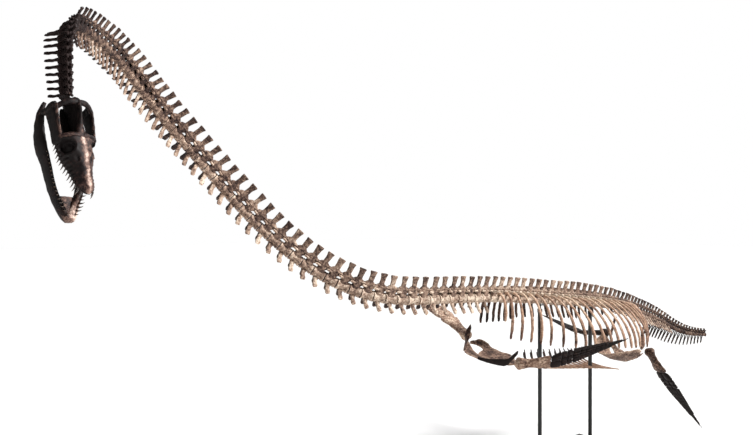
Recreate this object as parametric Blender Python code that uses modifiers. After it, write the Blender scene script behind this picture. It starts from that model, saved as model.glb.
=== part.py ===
"""Mounted skeleton of a long-necked plesiosaur (an elasmosaur), life size, on a display stand.

Units are metres, +Z is up. The trunk lies along X with the head end toward -X, and the animal's
left side faces -Y. The origin is the centre of the underside of the stand's base.

Every bone is placed from the backbone: a smooth curve through the stations below, numbered by
vertebra. A place near it is given as (s, up, left): the vertebra number s along the curve, then
metres toward the back and toward the left side.
"""
import math

import bmesh
import bpy
import numpy as np
from mathutils import Matrix, Vector

# ---------------------------------------------------------------- driving dimensions

# Backbone stations: vertebra number, x, y, z. 0 is the skull joint, 1-62 the neck, 63-65 the
# shoulders, 66-88 the back, 89-91 the hips and 92-115 the tail.
SPINE_STATIONS = (
    (0, -5.25, -1.18, 3.48),
    (6, -5.23, -1.038, 3.714),
    (10, -5.196, -0.894, 3.876),
    (14, -5.102, -0.689, 3.977),
    (18, -4.971, -0.444, 4.009),
    (25, -4.68, 0.04, 3.98),
    (32, -4.28, 0.48, 3.74),
    (39, -3.76, 0.63, 3.25),
    (46, -3.19, 0.52, 2.67),
    (53, -2.50, 0.25, 2.25),
    (60, -1.69, 0.11, 2.16),
    (67, -0.90, 0.10, 2.11),
    (75, -0.05, 0.02, 2.02),
    (83, 0.79, -0.02, 1.92),
    (91, 1.57, 0.05, 1.77),
    (100, 2.26, 0.08, 1.57),
    (108, 2.68, -0.03, 1.38),
    (115, 2.975, -0.18, 1.33),
)
SHOULDER = 66             # vertebra where the bank of the trunk is set
TRUNK_BANK = 13.0         # degrees, left side down

# Twist of the front of the neck, in degrees at each vertebra, from the upright carried along it.
ROLL_AT = (0, 6, 10, 13, 16, 20, 24, 28)
NECK_ROLL = (-14.0, -16.0, -12.0, -26.0, -25.0, -19.0, -13.0, 0.0)

# Sizes that change along the backbone: vertebra numbers, then metres.
AT = (1, 13, 25, 40, 52, 62, 78, 90, 103, 115)
CENTRUM_RADIUS = (0.025, 0.031, 0.038, 0.047, 0.054, 0.056, 0.056, 0.050, 0.038, 0.030)
SPINE_HEIGHT = (0.050, 0.112, 0.155, 0.215, 0.225, 0.225, 0.235, 0.175, 0.125, 0.080)
SPINE_TIP = (0.50, 0.52, 0.54, 0.54, 0.54, 0.60, 0.74, 0.74, 0.74, 0.70)     # in vertebrae
RIB_REACH = (0.050, 0.075, 0.100, 0.085, 0.072, 0.100, 0.110, 0.150, 0.110, 0.030)

SPINE_THICK = 0.018       # neural spine, side to side
NECK_RIB_DROOP = 1.50     # how far a neck rib turns down, for each metre outward
TAIL_RIB_DROOP = 0.75     # the same for the ribs of the hips and the tail
FIRST_HIP = 89            # vertebra from which ribs have the tail's droop
NECK_RIB_SWEEP = 0.25     # how far it reaches back, in vertebrae
NECK_RIB_HALF = (0.15, 0.007)         # its tip: half length in vertebrae, half thickness
CHEVRON_AT = (97, 104, 114)
CHEVRON_DEPTH = (0.270, 0.230, 0.120)
CHEVRON_HALF = (0.20, 0.008)          # its tip: half length in vertebrae, half thickness
BODY_HALF = 0.23          # half length of a centrum's broad part, in vertebrae
TOUCH = 0.0003            # gap kept between neighbouring bones

# Trunk ribs. They grow from a row of arch flanks beside the backbone.
RIB_SPAN = (66, 88)       # first and last vertebra with a trunk rib
RIB_WIDTH = 0.030
RIB_THICK = 0.018
RIB_TAPER = 0.12          # share of its girth that a rib loses from one section to the next
RIB_ROOT_HALF = 0.13      # half length of its root, in vertebrae
FLANK_LEFT = (0.028, 0.058)
FLANK_UP = (0.060, 0.092)
# The barrel of the rib cage: where the rib tips lie, as metres outward, tailward and down.
RIB_TIP_AT = (66, 67, 69, 71, 73, 76, 80, 84, 86, 88)
RIB_TIP_OUT = (0.21, 0.23, 0.30, 0.37, 0.47, 0.49, 0.49, 0.47, 0.38, 0.22)
RIB_TIP_BACK = (0.06, 0.075, 0.10, 0.11, 0.17, 0.29, 0.35, 0.33, 0.30, 0.25)
RIB_TIP_DOWN = (0.18, 0.365, 0.375, 0.385, 0.37, 0.36, 0.36, 0.34, 0.26, 0.13)
# A rib's section centres, as shares of the way from its root to its tip: outward, back, down.
RIB_PATH = ((0.30, 0.02, -0.02), (0.72, 0.22, 0.16), (0.98, 0.58, 0.55), (1.00, 1.00, 1.00))

# Belly ribs
BELLY_SPAN = (73.6, 84.4)
BELLY_ROW_SPACING = 1.05  # vertebrae between two rows
BELLY_ROW_HALF = 0.16     # half length of a row's middle piece, in vertebrae
BELLY_LEVEL = -0.735
BELLY_THICK = 0.012
BELLY_REACH = 0.016
BELLY_FLATNESS = 0.7      # height of a belly rib for its width
BELLY_SHARE_AT = (73, 79, 85)
BELLY_SHARE = (0.92, 1.0, 1.15)
# A belly rib's section centres: up, outward and tailward in metres, and its half width.
BELLY_PATH = ((-0.735, 0.14, 0.05, 0.012), (-0.695, 0.28, 0.14, 0.009))

PLATE_THICK = 0.026       # the flat bones of the shoulders and hips

SKULL_LENGTH = 0.462
SKULL_ORIGIN = (-5.236, -1.196, 3.478)
SKULL_FORWARD = (0.095, -0.35, -0.93)
SKULL_UP = (0.32, -0.88, 0.34)
JAW_CHIN = (0.495, 0.0, 0.006, 0.024, 0.022)     # the jaw's foremost section, as in JAW_SECTIONS
JAW_GAPE = 9.5            # degrees below the skull's axis
TOOTH_RADIUS = 0.0055
TOOTH_TIP = 0.0008
TOOTH_ROOT = 0.012        # how far a tooth's root lies inside the jaw
TOOTH_ROW = (0.76, 0.88)  # where the upper teeth's roots and tips lie, as shares of the half width
TOOTH_RAKE = 0.006        # how far ahead of its root a tooth's tip lies
LONG_TOOTH = 0.028        # near the snout
SHORT_TOOTH = 0.018
UPPER_TEETH = (0.205, 0.446, 7)       # metres ahead of first and last, and how many a side
LOWER_TEETH = (0.215, 0.448, 7)
LONG_FROM = 0.33          # teeth further ahead than this are long ones

BASE_SIZE = (2.60, 1.30, 0.080)
BASE_EDGE = 0.008
ROD_RADIUS = 0.022
ROD_SIDES = 12
ROD_AT = (73, 81)         # vertebrae that the two rods carry
SADDLE = (0.056, 0.050, 0.030)

BONE = (0.55, 0.43, 0.32, 1.0)
DARK_BONE = (0.26, 0.20, 0.16, 1.0)
STAND_PAINT = (0.05, 0.05, 0.05, 1.0)


# ---------------------------------------------------------------- scene and materials

def clear_scene():
    """Remove every object of the scene."""
    for item in list(bpy.data.objects):
        bpy.data.objects.remove(item, do_unlink=True)


def new_collection(name):
    """A collection linked to the scene."""
    found = bpy.data.collections.get(name) or bpy.data.collections.new(name)
    if name not in bpy.context.scene.collection.children:
        bpy.context.scene.collection.children.link(found)
    return found


def own_material(name, colour, roughness=0.75, metallic=0.0):
    """One Principled material for one bone."""
    material = bpy.data.materials.new(name + "_material")
    material.use_nodes = True
    shader = material.node_tree.nodes["Principled BSDF"]
    shader.inputs["Base Color"].default_value = colour
    shader.inputs["Roughness"].default_value = roughness
    shader.inputs["Metallic"].default_value = metallic
    return material


def finish_mesh(name, mesh_builder, colour, collection, metallic=0.0):
    """Turn a bmesh into a named object with its own material and outward faces."""
    bmesh.ops.recalc_face_normals(mesh_builder, faces=mesh_builder.faces[:])
    mesh = bpy.data.meshes.new(name)
    mesh_builder.to_mesh(mesh)
    mesh_builder.free()
    item = bpy.data.objects.new(name, mesh)
    mesh.materials.append(own_material(name, colour, metallic=metallic))
    collection.objects.link(item)
    return item


def tool_mesh(name, mesh_builder, collection):
    """Turn a bmesh into an object that only cuts or joins others: never rendered."""
    bmesh.ops.recalc_face_normals(mesh_builder, faces=mesh_builder.faces[:])
    mesh = bpy.data.meshes.new(name)
    mesh_builder.to_mesh(mesh)
    mesh_builder.free()
    item = bpy.data.objects.new(name, mesh)
    item.hide_render = True
    item.display_type = "WIRE"
    collection.objects.link(item)
    return item


def apply_boolean(target, tool, operation):
    """Join or cut with an exact Boolean kept as a modifier."""
    modifier = target.modifiers.new(operation.lower() + "_" + tool.name, "BOOLEAN")
    modifier.operation = operation
    modifier.object = tool
    modifier.solver = "EXACT"


# ---------------------------------------------------------------- the backbone curve

def natural_spline(knots, values):
    """Second derivatives of the natural cubic spline through values at the knots."""
    count = len(knots)
    steps = np.diff(knots)
    slopes = np.diff(values, axis=0) / steps[:, None]
    system = np.eye(count)
    right = np.zeros_like(values)
    for row in range(1, count - 1):
        system[row, row - 1] = steps[row - 1]
        system[row, row] = 2.0 * (steps[row - 1] + steps[row])
        system[row, row + 1] = steps[row]
        right[row] = 6.0 * (slopes[row] - slopes[row - 1])
    return np.linalg.solve(system, right)


KNOTS = np.array([station[0] for station in SPINE_STATIONS], dtype=float)
PLACES = np.array([station[1:] for station in SPINE_STATIONS], dtype=float)
BENDS = natural_spline(KNOTS, PLACES)


def backbone_point(s):
    """Point of the backbone curve at vertebra number s."""
    span = int(np.clip(np.searchsorted(KNOTS, s) - 1, 0, len(KNOTS) - 2))
    step = KNOTS[span + 1] - KNOTS[span]
    ahead = (KNOTS[span + 1] - s) / step
    behind = (s - KNOTS[span]) / step
    straight = ahead * PLACES[span] + behind * PLACES[span + 1]
    bend = (ahead ** 3 - ahead) * BENDS[span] + (behind ** 3 - behind) * BENDS[span + 1]
    return Vector(straight + bend * step ** 2 / 6)


def backbone_direction(s):
    """Unit direction toward the tail."""
    return (backbone_point(s + 0.05) - backbone_point(s - 0.05)).normalized()


def carried_ups():
    """The 'up' vector at each whole vertebra, carried untwisted along the curve from the shoulder."""
    ups = {}
    tail = backbone_direction(SHOULDER)
    upright = (Vector((0, 0, 1)) - tail * tail.z).normalized()
    ups[SHOULDER] = Matrix.Rotation(math.radians(TRUNK_BANK), 3, tail) @ upright
    for step in (-1, 1):
        s = SHOULDER
        while -1 <= s + step <= KNOTS[-1] + 1:
            turn = backbone_direction(s).rotation_difference(backbone_direction(s + step))
            ups[s + step] = turn @ ups[s]
            s += step
    return ups


UPS = carried_ups()


def along(s, sizes):
    """A size that changes along the backbone, read at vertebra s."""
    return float(np.interp(s, AT, sizes))


def axes(s):
    """Unit vectors (toward the tail, up, left) at vertebra s."""
    tail = backbone_direction(s)
    low = math.floor(s)
    up = UPS[low].lerp(UPS[low + 1], s - low)
    roll = float(np.interp(s, ROLL_AT, NECK_ROLL))
    up = (up - tail * up.dot(tail)).normalized()
    up = Matrix.Rotation(math.radians(roll), 3, tail) @ up
    return tail, up, tail.cross(up)


def place(s, up=0.0, left=0.0, tail=0.0):
    """World point at vertebra s, offset in metres up, left and toward the tail."""
    t, u, w = axes(s)
    return backbone_point(s) + u * up + w * left + t * tail


def vertebra_length(s):
    """Distance between neighbouring vertebrae at s."""
    return (backbone_point(s + 0.5) - backbone_point(s - 0.5)).length


# ---------------------------------------------------------------- lofts

def loft(rings, closed=True):
    """A closed body through rings of points. Returns the bmesh and its faces as [span][side]."""
    builder = bmesh.new()
    rows = [[builder.verts.new(point) for point in ring] for ring in rings]
    sides = len(rows[0])
    faces = []
    for first, second in zip(rows, rows[1:]):
        span = []
        for k in range(sides):
            after = (k + 1) % sides
            span.append(builder.faces.new((first[k], first[after], second[after], second[k])))
        faces.append(span)
    builder.faces.new(rows[0][::-1])
    builder.faces.new(rows[-1])
    return builder, faces


def push_out(builder, face, quads):
    """Extrude a four-sided face through a list of four-point rings, keeping the corner order."""
    corners = [loop.vert.co.copy() for loop in face.loops]
    for quad in quads:
        grown = bmesh.ops.extrude_discrete_faces(builder, faces=[face])["faces"][0]
        order = match_corners(corners, quad)
        for loop, target in zip(grown.loops, order):
            loop.vert.co = target
        corners = order
        face = grown
    return face


def match_corners(corners, quad):
    """Turn or flip a ring of four points so that it meets the old corners with least twist."""
    best = None
    for flip in (quad, quad[::-1]):
        for shift in range(4):
            turned = [flip[(k + shift) % 4] for k in range(4)]
            centre_old = sum(corners, Vector()) / 4
            centre_new = sum(turned, Vector()) / 4
            cost = sum(((a - centre_old) - (b - centre_new)).length for a, b in zip(corners, turned))
            if best is None or cost < best[0]:
                best = (cost, turned)
    return best[1]


def flat_ring(centre, long_axis, wide_axis, half_long, half_wide):
    """Four corners of a rectangle."""
    a = long_axis * half_long
    b = wide_axis * half_wide
    return [centre - a - b, centre + a - b, centre + a + b, centre - a + b]


# ---------------------------------------------------------------- vertebrae

SIDES = 6                 # faces round a centrum; face 1 is the top one
TOP_FACE = 1
LEFT_LOW_FACE = 5
RIGHT_LOW_FACE = 3
BOTTOM_FACE = 4


def centrum_ring(s, radius):
    """Six points round the backbone with flats at top and bottom, starting at the left."""
    _, u, w = axes(s)
    ring = []
    for k in range(SIDES):
        angle = math.tau * k / SIDES
        ring.append(backbone_point(s) + w * (radius * math.cos(angle)) + u * (radius * math.sin(angle)))
    return ring


def add_neural_spine(builder, face, s):
    """The arch and the flat-topped blade above one centrum."""
    t, u, w = axes(s)
    half_tip = 0.5 * along(s, SPINE_TIP) * vertebra_length(s)
    tip = backbone_point(s) + u * along(s, SPINE_HEIGHT)
    push_out(builder, face, [flat_ring(tip, t, w, half_tip, 0.5 * SPINE_THICK)])


def add_neck_rib(builder, face, s, side):
    """A short rib that points out, down and a little back."""
    t, u, w = axes(s)
    length = vertebra_length(s)
    droop = TAIL_RIB_DROOP if s >= FIRST_HIP else NECK_RIB_DROOP
    out = (w * side - u * droop).normalized()
    reach = along(s, CENTRUM_RADIUS) + along(s, RIB_REACH)
    centre = backbone_point(s) + out * reach + t * (NECK_RIB_SWEEP * length)
    push_out(builder, face, [flat_ring(centre, t, u, NECK_RIB_HALF[0] * length, NECK_RIB_HALF[1])])


def add_chevron(builder, face, s):
    """The small bone under a tail vertebra."""
    t, u, w = axes(s)
    length = vertebra_length(s)
    depth = float(np.interp(s, CHEVRON_AT, CHEVRON_DEPTH))
    centre = backbone_point(s) - u * depth + t * (0.3 * length)
    push_out(builder, face, [flat_ring(centre, t, w, CHEVRON_HALF[0] * length, CHEVRON_HALF[1])])


def column_length(name, first, last, collection, ribs=False, chevrons=False):
    """A run of vertebrae, first to last, as one closed body."""
    gap = TOUCH / vertebra_length(first)
    stops = []
    for s in range(first, last + 1):
        stops += [s - BODY_HALF, s + BODY_HALF]
    stops = [first - 0.5 + gap] + stops + [last + 0.5 - gap]
    rings = [centrum_ring(s, along(s, CENTRUM_RADIUS)) for s in stops]
    builder, faces = loft(rings)
    for number, s in enumerate(range(first, last + 1)):
        span = faces[1 + 2 * number]
        add_neural_spine(builder, span[TOP_FACE], s)
        if ribs:
            add_neck_rib(builder, span[LEFT_LOW_FACE], s, 1)
            add_neck_rib(builder, span[RIGHT_LOW_FACE], s, -1)
        if chevrons and CHEVRON_AT[0] <= s <= CHEVRON_AT[-1]:
            add_chevron(builder, span[BOTTOM_FACE], s)
    return finish_mesh(name, builder, BONE, collection)


# ---------------------------------------------------------------- ribs

def rib_centres(s, side):
    """Centres of a trunk rib's sections, from its head outward and down."""
    out = float(np.interp(s, RIB_TIP_AT, RIB_TIP_OUT))
    back = float(np.interp(s, RIB_TIP_AT, RIB_TIP_BACK))
    down = float(np.interp(s, RIB_TIP_AT, RIB_TIP_DOWN))
    root_out = FLANK_LEFT[1]
    root_up = 0.5 * sum(FLANK_UP)
    centres = []
    for out_share, back_share, down_share in RIB_PATH:
        up = root_up - (root_up + down) * down_share
        left = side * (root_out + (out - root_out) * out_share)
        centres.append(place(s, up, left, back * back_share))
    return centres


def rib_cage_side(name, side, collection):
    """One side of the rib cage: the row of arch flanks and the ribs that grow from it."""
    first, last = RIB_SPAN
    inner, outer = FLANK_LEFT
    low, high = FLANK_UP
    stops = []
    for s in range(first, last + 1):
        stops += [s - RIB_ROOT_HALF, s + RIB_ROOT_HALF]
    rings = []
    for s in stops:
        rings.append([place(s, high, side * inner), place(s, high, side * outer),
                      place(s, low, side * outer), place(s, low, side * inner)])
    builder, faces = loft(rings)
    outer_face = 1
    for number, s in enumerate(range(first, last + 1)):
        t, _, _ = axes(s)
        centres = rib_centres(s, side)
        start = place(s, 0.5 * (low + high), side * outer)
        quads = []
        for k, centre in enumerate(centres):
            before = centres[k - 1] if k else start
            after = centres[min(k + 1, len(centres) - 1)]
            run = (after - before).normalized()
            across = run.cross(t).normalized()
            half = 0.5 * (1.0 - RIB_TAPER * k)
            width = half * RIB_WIDTH
            quads.append(flat_ring(centre, across.cross(run), across, width, half * RIB_THICK))
        push_out(builder, faces[2 * number][outer_face], quads)
    return finish_mesh(name, builder, BONE, collection)


def belly_basket(name, collection):
    """The belly ribs: rows that grow out and back from overlapping middle pieces."""
    rows = np.arange(BELLY_SPAN[0], BELLY_SPAN[1], BELLY_ROW_SPACING)
    high = BELLY_LEVEL + BELLY_THICK
    low = BELLY_LEVEL - BELLY_THICK
    rings = []
    for s in rows:
        for stop in (s - BELLY_ROW_HALF, s + BELLY_ROW_HALF):
            rings.append([place(stop, high, BELLY_REACH), place(stop, low, BELLY_REACH),
                          place(stop, low, -BELLY_REACH), place(stop, high, -BELLY_REACH)])
    builder, faces = loft(rings)
    for number, s in enumerate(rows):
        t, u, _ = axes(s)
        share = float(np.interp(s, BELLY_SHARE_AT, BELLY_SHARE))
        for side, face in ((1, 0), (-1, 2)):
            quads = []
            for up, left, tail, half_width in BELLY_PATH:
                centre = place(s, up, side * left * share, tail)
                quads.append(flat_ring(centre, t, u, half_width, BELLY_FLATNESS * half_width))
            push_out(builder, faces[2 * number][face], quads)
    return finish_mesh(name, builder, BONE, collection)


# ---------------------------------------------------------------- girdles

def plate_bone(name, edges, anchor, side, level, collection):
    """A flat bone of the belly side between two edges. An edge is rows of (toward the tail, outward)
    in metres from the anchor vertebra, and level gives the height under the backbone there."""
    half = PLATE_THICK / 2
    rings = []
    for (tail_a, out_a), (tail_b, out_b) in zip(*edges):
        row = []
        for share in PLATE_SHARES:
            row.append((tail_a + (tail_b - tail_a) * share, out_a + (out_b - out_a) * share))
        top = [place(anchor, level(tail, out) + half, side * out, tail) for tail, out in row]
        low = [place(anchor, level(tail, out) - half, side * out, tail) for tail, out in row]
        rings.append(top + low[::-1])
    builder, _ = loft(rings)
    return finish_mesh(name, builder, BONE, collection)


def shoulder_level(tail, out):
    """Height of the shoulder plates: flat in the middle, rising to the sockets and to the front."""
    return -0.660 + 0.072 * (out / 0.34) ** 4 + 0.056 * min(max((-tail - 0.10) / 0.275, 0.0), 1.0)


def hip_level(tail, out):
    """Height of the hip plates: a deep bowl whose keel rises to the front and the rear."""
    front_rise = 0.045 * min(max((-tail - 0.30) / 0.32, 0.0), 1.0)
    return -0.675 + 0.27 * (out / 0.27) ** 2 + front_rise + 0.30 * max(tail, 0.0)


SHOULDER_ANCHOR = 67.8
HIP_ANCHOR = 92.9
MIDLINE = 0.0008          # half of the gap between a left and a right plate
PLATE_SHARES = (0.0, 0.4, 1.0)        # points across a plate, from its first edge to its second

CORACOID = (
    ((-0.048, 0.290), (0.035, 0.268), (0.068, 0.235), (0.066, 0.185), (0.010, 0.140), (-0.060, 0.112),
     (-0.112, 0.060), (-0.115, MIDLINE), (0.100, MIDLINE), (0.300, MIDLINE)),
    ((-0.030, 0.310), (0.050, 0.316), (0.110, 0.330), (0.180, 0.318), (0.225, 0.275), (0.222, 0.225),
     (0.255, 0.165), (0.285, 0.085), (0.340, 0.045), (0.345, 0.012)),
)
SCAPULA = (
    ((-0.0515, 0.308), (-0.058, 0.262), (-0.075, 0.200), (-0.100, 0.130), (-0.1165, 0.070),
     (-0.1165, 0.020), (-0.1165, MIDLINE)),
    ((-0.080, 0.308), (-0.110, 0.282), (-0.150, 0.235), (-0.215, 0.170), (-0.290, 0.095),
     (-0.345, 0.040), (-0.365, MIDLINE)),
)
PUBIS = (
    ((-0.016, 0.200), (-0.055, 0.165), (-0.080, 0.125), (-0.070, 0.085), (-0.042, 0.050),
     (-0.040, 0.020), (-0.060, MIDLINE), (-0.300, MIDLINE), (-0.560, MIDLINE)),
    ((-0.016, 0.222), (-0.070, 0.245), (-0.180, 0.255), (-0.300, 0.232), (-0.410, 0.195),
     (-0.520, 0.135), (-0.590, 0.065), (-0.615, 0.025), (-0.618, 0.006)),
)
ISCHIUM = (
    ((-0.013, 0.200), (0.022, 0.150), (0.020, 0.105), (-0.010, 0.065), (-0.036, 0.025),
     (-0.010, MIDLINE), (0.190, MIDLINE)),
    ((-0.013, 0.222), (0.045, 0.225), (0.090, 0.190), (0.130, 0.150), (0.190, 0.120), (0.240, 0.085),
     (0.262, 0.025)),
)

# The shoulder blade stands on the outer edge of its plate: from front to tip, its lower and its
# upper edge as (toward the tail, up, outward) in metres from the anchor vertebra.
SHOULDER_BLADE = (
    ((-0.285, -0.632, 0.105), (-0.285, -0.606, 0.105)), ((-0.205, -0.640, 0.180), (-0.205, -0.591, 0.195)),
    ((-0.140, -0.640, 0.245), (-0.140, -0.566, 0.265)), ((-0.085, -0.632, 0.290), (-0.098, -0.532, 0.335)),
    ((-0.056, -0.600, 0.312), (-0.060, -0.475, 0.360)), ((-0.008, -0.475, 0.364), (-0.018, -0.434, 0.372)),
)
BLADE_HALF = 0.011        # half thickness

# A bar's sections: vertebra, up, left, half length and half thickness.
ILIUM = ((92.6, -0.430, 0.222, 0.030, 0.015), (91.2, -0.165, 0.185, 0.028, 0.013))


def tapered_bar(sections, side):
    """A bmesh of a flat bar through its sections, its flat faces turned outward."""
    centres = [place(s, up, side * left) for s, up, left, _, _ in sections]
    run = (centres[-1] - centres[0]).normalized()
    rings = []
    for centre, (s, _, _, half_long, half_thick) in zip(centres, sections):
        _, _, w = axes(s)
        across = run.cross(w).normalized()
        rings.append(flat_ring(centre, across, across.cross(run), half_long, half_thick))
    builder, _ = loft(rings)
    return builder


def shoulder_blade(side):
    """A bmesh of the blade: flat sections between its lower and upper edges."""
    edges = [[place(SHOULDER_ANCHOR, up, side * out, tail) for tail, up, out in row] for row in SHOULDER_BLADE]
    centres = [(low + high) / 2 for low, high in edges]
    rings = []
    for k, (centre, (low, high)) in enumerate(zip(centres, edges)):
        run = centres[min(k + 1, len(centres) - 1)] - centres[max(k - 1, 0)]
        rise = (high - low) / 2
        rings.append(flat_ring(centre, rise.normalized(), run.cross(rise).normalized(), rise.length, BLADE_HALF))
    builder, _ = loft(rings)
    return builder


def make_scapula(name, side, collection, cutters):
    """The shoulder plate with the blade that stands on its outer edge."""
    plate = plate_bone(name, SCAPULA, SHOULDER_ANCHOR, side, shoulder_level, collection)
    rising = tool_mesh("blade_" + name, shoulder_blade(side), cutters)
    apply_boolean(plate, rising, "UNION")
    return plate


# ---------------------------------------------------------------- flippers

def limb_frame(root, offset):
    """World point at an offset of (toward the tail, up, left) metres from a root (s, up, left)."""
    s, up, left = root
    return place(s, up + offset[1], left + offset[2], offset[0])


def lens_ring(centre, chord, normal, half_chord, half_thick, lead=0.0):
    """Six points of a flat, sharp-edged section."""
    ring = []
    for a, b in ((1, 0), (0.45, 1), (-0.45, 1), (-1, 0), (-0.45, -1), (0.45, -1)):
        ring.append(centre + chord * (half_chord * a + lead) + normal * (half_thick * b))
    return ring


def limb_rings(start, end, joint_run, chord_hint, sections, joint_at):
    """Rings along a limb bone. Near the joint, at share 0 or 1, they turn square to joint_run, so
    that both bones meet flush."""
    run = (end - start).normalized()
    rings = []
    for share, half_chord, half_thick, lead in sections:
        turned = max(0.0, 1.0 - abs(share - joint_at) / TURN_SHARE)
        square = run.lerp(joint_run, turned).normalized()
        chord = (chord_hint - square * chord_hint.dot(square)).normalized()
        normal = square.cross(chord).normalized()
        rings.append(lens_ring(start.lerp(end, share), chord, normal, half_chord, half_thick, lead))
    return rings


# Sections of the limb bones: share of the length, half chord, half thickness, lead along the chord.
UPPER_BONE = (
    (0.000, 0.042, 0.028, 0.0), (0.060, 0.062, 0.048, 0.0), (0.330, 0.066, 0.036, 0.0),
    (0.600, 0.082, 0.032, 0.0), (0.850, 0.115, 0.030, 0.0), (0.960, 0.125, 0.026, 0.0),
    (1.000, 0.115, 0.018, 0.0),
)
PADDLE = (
    (0.000, 0.110, 0.018, 0.0), (0.030, 0.126, 0.024, 0.0), (0.180, 0.142, 0.024, 0.006),
    (0.380, 0.126, 0.019, 0.006), (0.600, 0.086, 0.014, -0.002),
    (0.940, 0.026, 0.007, -0.022), (1.000, 0.010, 0.005, -0.028),
)

# Each limb: its root (s, up, left), then the elbow, the tip and the chord's direction, each from
# the root as (toward the tail, up, left) in metres.
LIMBS = {
    "fore_left": ((67.75, -0.585, 0.358), (0.300, 0.090, 0.180), (0.970, 0.470, 0.540), (0.66, -0.67, -0.33)),
    "fore_right": ((67.75, -0.585, -0.358), (-0.020, 0.090, -0.390), (0.060, 0.120, -1.270), (0.98, 0.04, 0.18)),
    "hind_left": ((93.0, -0.405, 0.275), (0.215, -0.215, 0.158), (0.710, -0.715, 0.656), (0.58, -0.20, -0.79)),
    "hind_right": ((93.0, -0.405, -0.275), (-0.045, -0.139, -0.349), (0.137, -0.144, -1.129), (0.97, 0.10, 0.23)),
}
JOINT_GAP = 0.008         # between the upper bone and the paddle
TURN_SHARE = 0.25         # share of a limb bone's length over which its rings turn to the joint
UPPER_NAMES = {"fore": "humerus", "hind": "femur"}


def limb(label, root, elbow, tip, chord, collection):
    """The upper bone and the paddle of one flipper."""
    pair, side = label.split("_")
    start = limb_frame(root, (0, 0, 0))
    bend = limb_frame(root, elbow)
    end = limb_frame(root, tip)
    t, u, w = axes(root[0])
    hint = t * chord[0] + u * chord[1] + w * chord[2]
    joint_run = ((bend - start).normalized() + (end - bend).normalized()).normalized()
    builder, _ = loft(limb_rings(start, bend, joint_run, hint, UPPER_BONE, 1.0))
    finish_mesh(UPPER_NAMES[pair] + "_" + side, builder, BONE, collection)
    first = bend + joint_run * JOINT_GAP
    builder, _ = loft(limb_rings(first, end, joint_run, hint, PADDLE, 0.0))
    finish_mesh("paddle_" + label, builder, BONE, collection)


# ---------------------------------------------------------------- skull and jaw

FORWARD = Vector(SKULL_FORWARD).normalized()
SKULL_TOP = (Vector(SKULL_UP) - FORWARD * Vector(SKULL_UP).dot(FORWARD)).normalized()
SKULL_LEFT = SKULL_TOP.cross(FORWARD).normalized()


def skull_place(ahead, up, left):
    """World point in the skull's own frame: metres ahead of its neck joint, up and left."""
    return Vector(SKULL_ORIGIN) + FORWARD * ahead + SKULL_TOP * up + SKULL_LEFT * left


def skull_ring(ahead, half_width, top, bottom):
    """Points round the skull: a ridged roof that slopes to the cheeks, square tooth margins and a
    flat palate."""
    ring = []
    for k in range(SKULL_SIDES):
        angle = math.tau * k / SKULL_SIDES
        across, rise = math.cos(angle), math.sin(angle)
        if rise > 0:
            side = half_width * math.copysign(abs(across) ** 0.8, across)
            level = top * rise * (1.0 - 0.55 * abs(across))
        else:
            side = half_width * math.copysign(abs(across) ** 0.5, across)
            level = -bottom * abs(rise) ** 0.25
        ring.append(skull_place(ahead, level, side))
    return ring


SKULL_SIDES = 12
# metres ahead of the neck joint, half width, height above and depth below the axis
SKULL_SECTIONS = (
    (-0.012, 0.026, 0.022, 0.022), (0.006, 0.055, 0.060, 0.045), (0.030, 0.084, 0.080, 0.060),
    (0.070, 0.088, 0.083, 0.058), (0.125, 0.088, 0.068, 0.046), (0.190, 0.086, 0.054, 0.050),
    (0.245, 0.079, 0.053, 0.052), (0.290, 0.070, 0.050, 0.047), (0.330, 0.057, 0.046, 0.034),
    (0.415, 0.042, 0.037, 0.012), (0.443, 0.032, 0.030, 0.008),
    (SKULL_LENGTH, 0.014, 0.014, 0.004),
)


# Each opening's centre (ahead, up, outward), the lean of its axis (up, outward), then the half
# length of the cut and the two radii of its oval, the first along the skull.
OPENINGS = {
    "temple": (0.106, 0.040, 0.045, 1.0, 0.30, 0.200, 0.058, 0.027),
    "eye": (0.234, 0.022, 0.064, 0.6, 1.0, 0.040, 0.030, 0.022),
}


def cutter_tube(name, centre, axis, sizes, collection):
    """An oval tube that cuts an opening."""
    half_length, radius_a, radius_b = sizes
    builder = bmesh.new()
    bmesh.ops.create_cone(builder, cap_ends=True, segments=10, radius1=1.0, radius2=1.0, depth=2.0)
    axis = axis.normalized()
    across = (FORWARD - axis * FORWARD.dot(axis)).normalized()
    other = axis.cross(across)
    for vert in builder.verts:
        x, y, z = vert.co
        vert.co = centre + across * (x * radius_a) + other * (y * radius_b) + axis * (z * half_length)
    return tool_mesh(name, builder, collection)


def teeth_tool(name, spots, collection):
    """Three-sided pointed teeth as one tool: each spot is a root and a tip."""
    builder = bmesh.new()
    for root, tip in spots:
        run = tip - root
        turn = Vector((0, 0, 1)).rotation_difference(run.normalized()).to_matrix().to_4x4()
        shift = Matrix.Translation(root + run / 2)
        bmesh.ops.create_cone(builder, cap_ends=True, segments=3, radius1=TOOTH_RADIUS,
                              radius2=TOOTH_TIP, depth=run.length, matrix=shift @ turn)
    return tool_mesh(name, builder, collection)


def tooth_length(ahead):
    """Long teeth toward the snout, short ones behind."""
    return LONG_TOOTH if ahead > LONG_FROM else SHORT_TOOTH


def section_size(ahead, sections, column):
    """One column of a table of sections, read at a distance ahead."""
    return float(np.interp(ahead, [row[0] for row in sections], [row[column] for row in sections]))


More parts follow.
